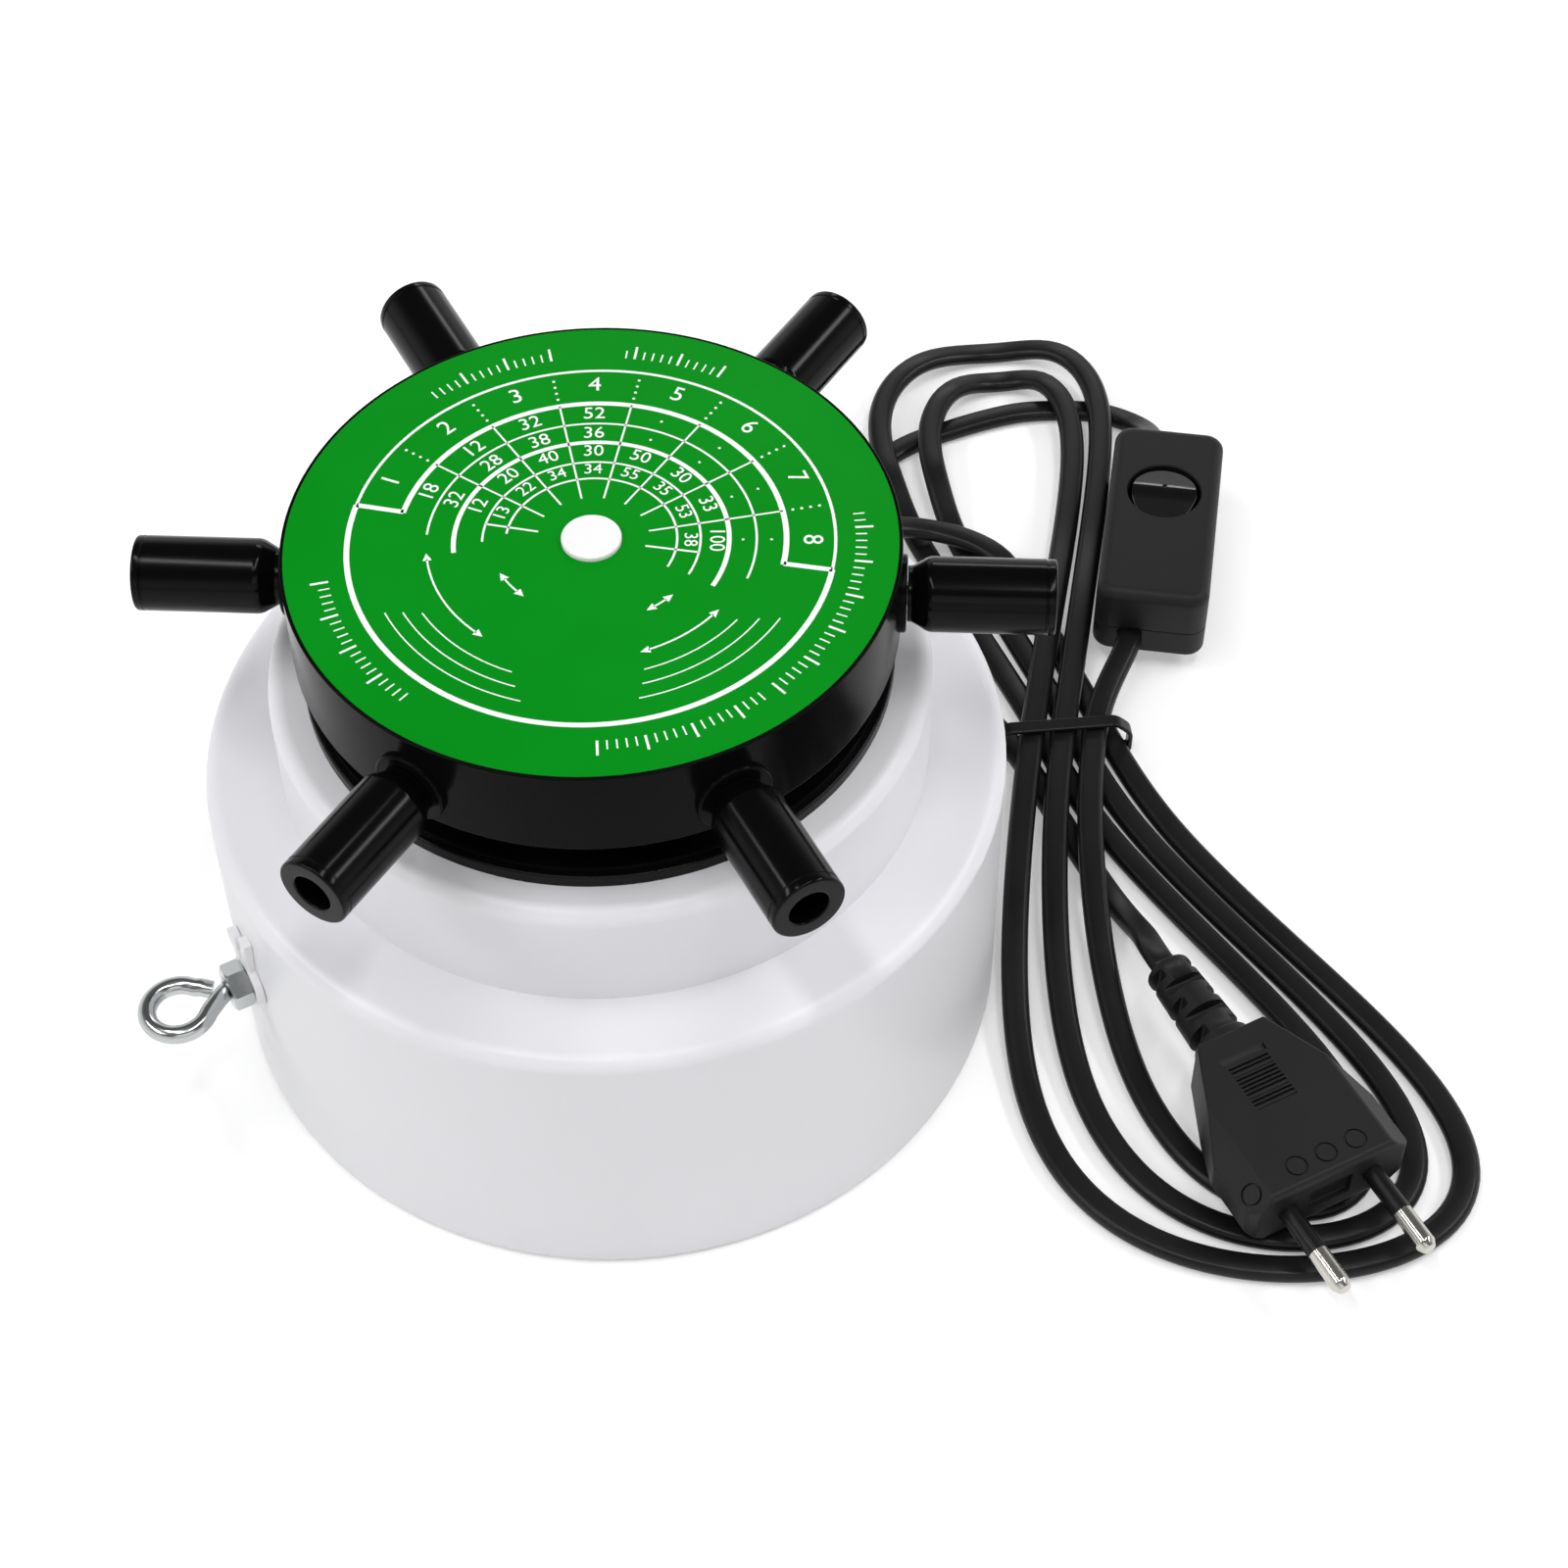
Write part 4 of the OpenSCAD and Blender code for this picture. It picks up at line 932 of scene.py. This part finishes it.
tie_head = soften(bar("tie_head", (-side - tie_head_l, 0, top - tie_corner - tie_head_h),
                      (-side + 0.2, tie_deep, top - tie_corner)), 0.35)
work_in(tie, [tie_head], "UNION")
settle(tie, move_by(waist.x - 0.5, waist.y + 1.5 - tie_deep, top + 0.1))
tie_black = moulded("tie_black", grey(0.005, 0.03), 0.32, height=0.02, shade=0.85, sheen=0.25)
fit(tie, "base", "tie_black", tie_black, "cord_tie")

# Cord switch: two matt black half shells screwed together from below, with a
# round rocker that tips on a cross pin in the upper one.
switch_w, switch_h, split_h, roof_t, wall_t, end_t = 24, 17.6, 7, 2.5, 2, 4
corner_r, brow_r, split_r, foot_r, rocker_hole_r = 4, 2.5, 0.3, 1, 7.9
post_x, post_y, post_r, head_hole, screw_hole = 6.5, 19, 3.4, 2.7, 1.3
rocker_y, rocker_z, rocker_r, rocker_tilt = 6, 12.2, 7.1, 8
at_switch = move_by(*switch_mid, switch_z) @ turn_by(switch_turn)


def rounded_bar(name, w, l, low, high, r, segments):
    """A block with its four upright edges rounded, left in edit mode."""
    piece = bar(name, (-w / 2, -l / 2, low), (w / 2, l / 2, high))
    bpy.ops.object.mode_set(mode="EDIT")
    choose("EDGE", lambda p, way: abs(way.z) > 0.9)
    bpy.ops.mesh.bevel(offset=r * mm, segments=segments, affect="EDGES")
    return piece


def ease_rim(z, width, segments):
    """Round the edges that lie at one height, in edit mode."""
    choose("EDGE", lambda p, way: abs(p.z - z) < 0.01)
    bpy.ops.mesh.bevel(offset=width * mm, segments=segments, affect="EDGES")


lid = rounded_bar("switch_lid", switch_w, switch_l, split_h, switch_h, corner_r, 10)
ease_rim(switch_h, brow_r, 7)
ease_rim(split_h, split_r, 2)
tidy_up()
room_w, room_l, room_top = switch_w - 2 * wall_t, switch_l - 2 * end_t, switch_h - roof_t
room = rounded_bar("room", room_w, room_l, split_h - 1, room_top, 2, 4)
tidy_up()
mouth = turned_piece("mouth", [
    (0, room_top - 1), (rocker_hole_r, room_top - 1), (rocker_hole_r, switch_h - 0.3, 0.2),
    (rocker_hole_r + 0.7, switch_h + 0.4), (0, switch_h + 0.4)], 96, False)
settle(mouth, move_by(0, rocker_y, 0))
work_in(lid, [room], "DIFFERENCE")
work_in(lid, [mouth], "DIFFERENCE")
tray = rounded_bar("switch_tray", switch_w, switch_l, 0, split_h, corner_r, 10)
ease_rim(0, foot_r, 4)
ease_rim(split_h, split_r, 2)
tidy_up()
room = rounded_bar("room", room_w, room_l, wall_t, split_h + 1, 2, 4)
tidy_up()
work_in(tray, [room], "DIFFERENCE")
post_places = [move_by(post_x, y, 0) for y in (-post_y, post_y)]
posts = [settle(rod("post", post_r, 1, split_h - 0.05), place) for place in post_places]
work_in(tray, posts, "UNION")
holes = [settle(turned_piece("hole", [
    (0, -1), (head_hole, -1), (head_hole, 2), (screw_hole, 2), (screw_hole, split_h + 1),
    (0, split_h + 1)], 32, False), place) for place in post_places]
work_in(tray, holes, "DIFFERENCE")
switch_matte = moulded("switch_matte", grey(0.008, 0.08), 0.50, grain=1700, height=0.03,
                       swing=0.10, shade=0.85, sheen=0.25)
fit(settle(lid, at_switch), "base", "switch_matte", switch_matte, "switch_cover")
fit(settle(tray, at_switch), "base", "switch_matte", switch_matte, "switch_base")

# The rocker is cut round from a bar with a rounded ridge, and has a small pip.
blank_x, blank_y, blank_low, shoulder_z, ridge_z = 9, 8, -3, 3.9, 6.3
pin_half, pip_y, pip_z = 9.3, 1.6, 5.75
button = drawn_line("rocker_button", [
    (-blank_x, -blank_y, blank_low), (-blank_x, blank_y, blank_low),
    (-blank_x, blank_y, shoulder_z), (-blank_x, 0, ridge_z), (-blank_x, -blank_y, shoulder_z)])
choose("VERT", lambda p: p.z > ridge_z - 0.1)
ease_corners(2.2, 6)
fill()
pull((2 * blank_x * mm, 0, 0))
tidy_up(25)
work_in(button, [rod("round", rocker_r, blank_low - 1, 9, 96)], "INTERSECT")
soften(button, 0.2, 40, 2)
pip = turned_piece("pip", [(0, -1), (0.75, -1), (0.55, 0.25, 0.15), (0, 0.3)], 32, False)
work_in(button, [settle(pip, move_by(0, pip_y, pip_z))], "UNION")
pin = settle(rod("pin", 1, -pin_half, pin_half, 32), turn_by(90, "Y"))
work_in(button, [pin], "UNION")
settle(button, at_switch @ move_by(0, rocker_y, rocker_z) @ turn_by(rocker_tilt, "X"))
rocker_gloss = moulded("rocker_gloss", grey(0.002, 0.05), 0.16, grain=600, height=0.004,
                       swing=0.06)
fit(button, "rocker", "rocker_gloss", rocker_gloss, "rocker")

# Plug: a two-pin plug moulded round its cord in satin black, with bevelled faces,
# a ribbed grip, a slotted neck, and nickel pins in black sleeves.
plug_w, pin_gap, pin_r, core_r, sleeve_l, pin_l = 35.6, 18.6, 2, 1.45, 10, 19
plug_mid_h = plug_h / 2
flank, slope_h, top_half = plug_w / 2, 4, 13.3
at_plug = move_by(*plug_face, plug_z) @ turn_by(plug_turn)
plug = bar("plug_shell", (-flank, 0, 0), (flank, body_l, plug_h))
bpy.ops.object.mode_set(mode="EDIT")


def shave(first, second, across):
    """Shave the block along the plane through two points and a third direction."""
    first, second, across = Vector(first), Vector(second), Vector(across)
    normal = (second - first).cross(across)
    if normal.dot(first - Vector((0, body_l / 2, plug_mid_h))) < 0:
        normal.negate()
    bpy.ops.mesh.select_all(action="SELECT")
    bpy.ops.mesh.bisect(plane_co=first * mm, plane_no=normal.normalized(), use_fill=True,
                        clear_outer=True, threshold=1e-6)


# The plug's block is shaved: two facets in plan on each side, then the front edges
# below and above, then the long slopes beside the two flat faces.
for side in (-1, 1):
    for x1, y1, x2, y2 in ((16.3, 0, flank, 1.5), (flank, 13, 9.3, 32)):
        shave((side * x1, y1, 0), (side * x2, y2, 0), (0, 0, 1))
    edge = 0 if side < 0 else plug_h
    shave((0, 0, edge - side * 0.9), (0, 0.7, edge), (1, 0, 0))
    for z1, z2 in ((slope_h, 0), (plug_h - slope_h, plug_h)):
        shave((side * flank, 0, z1), (side * top_half, 0, z2), (0, 1, 0))
tidy_up(20)
soften(plug, 0.45, 15, 3)

# Grip: fine grooves and a wider one behind them, on both flat faces.
grip_y, grip_pitch, groove_w, groove_t = 18, 0.9, 0.42, 1.6
grip = [bar("groove", (-5.3, grip_y + k * grip_pitch, z),
            (3.5, grip_y + groove_w + k * grip_pitch, z + groove_t))
        for z in (-0.8, plug_h - 0.8) for k in range(12)]
grip += [bar("groove", (-5.8, 29.3, z), (4, 30.8, z + groove_t)) for z in (-0.9, plug_h - 0.7)]
work_in(plug, grip, "DIFFERENCE")
panel = bar("panel", (-4.6, -1, plug_mid_h - 3), (4.6, 1.2, plug_mid_h + 3))
work_in(plug, [soften(panel, 0.3)], "DIFFERENCE")
core_hole = core_r + 0.05
pin_places = [move_by(x, 0, plug_mid_h) for x in (-pin_gap / 2, pin_gap / 2)]
work_in(plug, [settle(rod("bore", core_hole, -1, 15, 32), place @ turn_by(-90, "X"))
               for place in pin_places], "DIFFERENCE")

# Engraved rings: three across the top face and one on the slope at the left.
mark_in, mark_out, mark_y = 1.8, 2.2, 4.3
spots = [move_by(x, mark_y, plug_h) for x in (-5.6, 0.9, 7.4)]
spots.append(move_by(-15.4, 3.8, plug_h - 2.15) @ turn_by(-41.6, "Y"))
marks = [settle(turned_piece("mark", [
    (mark_in, -0.35), (mark_out, -0.35), (mark_out, 0.5), (mark_in, 0.5)], 40), spot)
    for spot in spots]
work_in(plug, marks, "DIFFERENCE")
plug_black = moulded("plug_black", grey(0.010, 0.06), 0.46, grain=1500, height=0.03,
                     shade=0.82, sheen=0.25)
fit(settle(plug, at_plug), "base", "plug_black", plug_black, "plug_body")

neck_rim, neck_slot, slot_pitch, neck_core = 6, 2.2, 3.9, 2.6
neck = turned_piece("plug_neck", [
    (0, 0), (neck_rim, 0), (neck_rim, 2.2, 0.5), (5.5, 2.4, 0.3), (4.6, relief_l, 0.8),
    (0, relief_l)], 64, False)
slots = []
for k in range(5):
    slot_z = 2.6 + k * slot_pitch
    for turn in (0, 180):
        slot = bar("slot", (neck_core, -8, slot_z), (10, 8, slot_z + neck_slot))
        slots.append(settle(soften(slot, 0.5), turn_by(turn + 90 * (k % 2))))
work_in(neck, slots, "DIFFERENCE")
settle(neck, at_plug @ move_by(0, body_l, plug_mid_h) @ turn_by(-90, "X"))
fit(neck, "base", "relief_rubber", relief_rubber, "plug_relief")

pins, sleeves = [], []
for pin_place in pin_places:
    place = at_plug @ pin_place @ turn_by(90, "X")
    pins.append(settle(turned_piece("pin", [
        (0, -14), (core_r, -14, 0.2), (core_r, sleeve_l), (pin_r, sleeve_l, 0.1),
        (pin_r, pin_l - 1.4, 0.3), (1.25, pin_l, 0.3), (0, pin_l)], 48, False), place))
    sleeves.append(settle(turned_piece("sleeve", [
        (core_hole, 0), (pin_r, 0), (pin_r, sleeve_l, 0.12), (core_hole, sleeve_l)], 48), place))
nickel = metal("pin_nickel", (0.62, 0.60, 0.56), 0.20, grain=1500, swing=0.1)
sleeve_black = moulded("sleeve_black", grey(0.006), 0.3, swing=0.1, shade=0.85, sheen=0.25)
fit(joined(pins, "pin_rods"), "base", "pin_nickel", nickel, "plug_pins")
fit(joined(sleeves, "pin_tubes"), "base", "sleeve_black", sleeve_black, "pin_sleeves")

# Floor and light: a plain white table that looks a little lighter than it is lit,
# under six soft lamps and a sky that is bright at the horizon and dim overhead.
table_size, table_drop, table_glow = 30, 0.05, 0.30
floor = start(bpy.ops.mesh.primitive_plane_add, "floor", size=table_size,
              location=(0, 0, -table_drop * mm))
table_white = Finish("table_white")
table_white.set(Base_Color=grey(0.80), Roughness=0.8, Specular_IOR_Level=0.1)


def ray(kind):
    """Whether the table is looked at by this kind of ray, as 1 or 0."""
    return table_white.node("ShaderNodeLightPath", out=kind)


seen = ray("Is Camera Ray") + ray("Is Glossy Ray") + ray("Is Transmission Ray")
lifted = table_white.node("ShaderNodeEmission", None, {
    "Color": grey(1), "Strength": seen * table_glow})
both = table_white.node("ShaderNodeAddShader", None, {
    0: Wire(table_white, table_white.shader.outputs[0]), 1: lifted})
table_white.tree.links.new(both.socket, table_white.tree.nodes["Material Output"].inputs[0])
give(floor, table_white.material)


def softbox(name, place, width, height, power):
    """A rectangular lamp that faces the middle of the winder."""
    aim = Vector((0, 0, 0.05))
    lamp = bpy.data.objects.new(name, bpy.data.lights.new(name, "AREA"))
    lamp.data.shape = "RECTANGLE"
    lamp.data.size, lamp.data.size_y = width, height
    lamp.data.energy = power
    lamp.location = place
    lamp.rotation_euler = (aim - Vector(place)).to_track_quat("-Z", "Y").to_euler()
    bpy.context.scene.collection.objects.link(lamp)


softbox("left_box", (-0.9, -0.1, 0.95), width=0.9, height=0.14, power=4.8)
softbox("right_box", (0.95, 0.1, 0.9), width=0.9, height=0.14, power=4.8)
softbox("top_left", (-0.32, -0.15, 1.3), width=0.9, height=0.10, power=4.2)
softbox("top_right", (0.32, -0.15, 1.3), width=0.9, height=0.10, power=4.2)
softbox("front_box", (0.1, -1.0, 0.75), width=0.9, height=0.4, power=1.2)
softbox("back_box", (0.3, 1.25, 0.8), width=0.5, height=0.15, power=1.6)
world = bpy.data.worlds.new("studio")
bpy.context.scene.world = world
sky = Finish("studio", world, "Background")
toward = sky.node("ShaderNodeTexCoord", out="Generated")
upright = sky.node("ShaderNodeSeparateXYZ", None, {0: toward}, out="Z")
horizon_to_top = ((0.25, grey(0.97)), (0.55, grey(0.12)))
sky.set(Color=sky.node("ShaderNodeValToRGB", {"stops": horizon_to_top}, {0: upright}),
        Strength=1.0)
bpy.context.scene.view_settings.view_transform = "Standard"
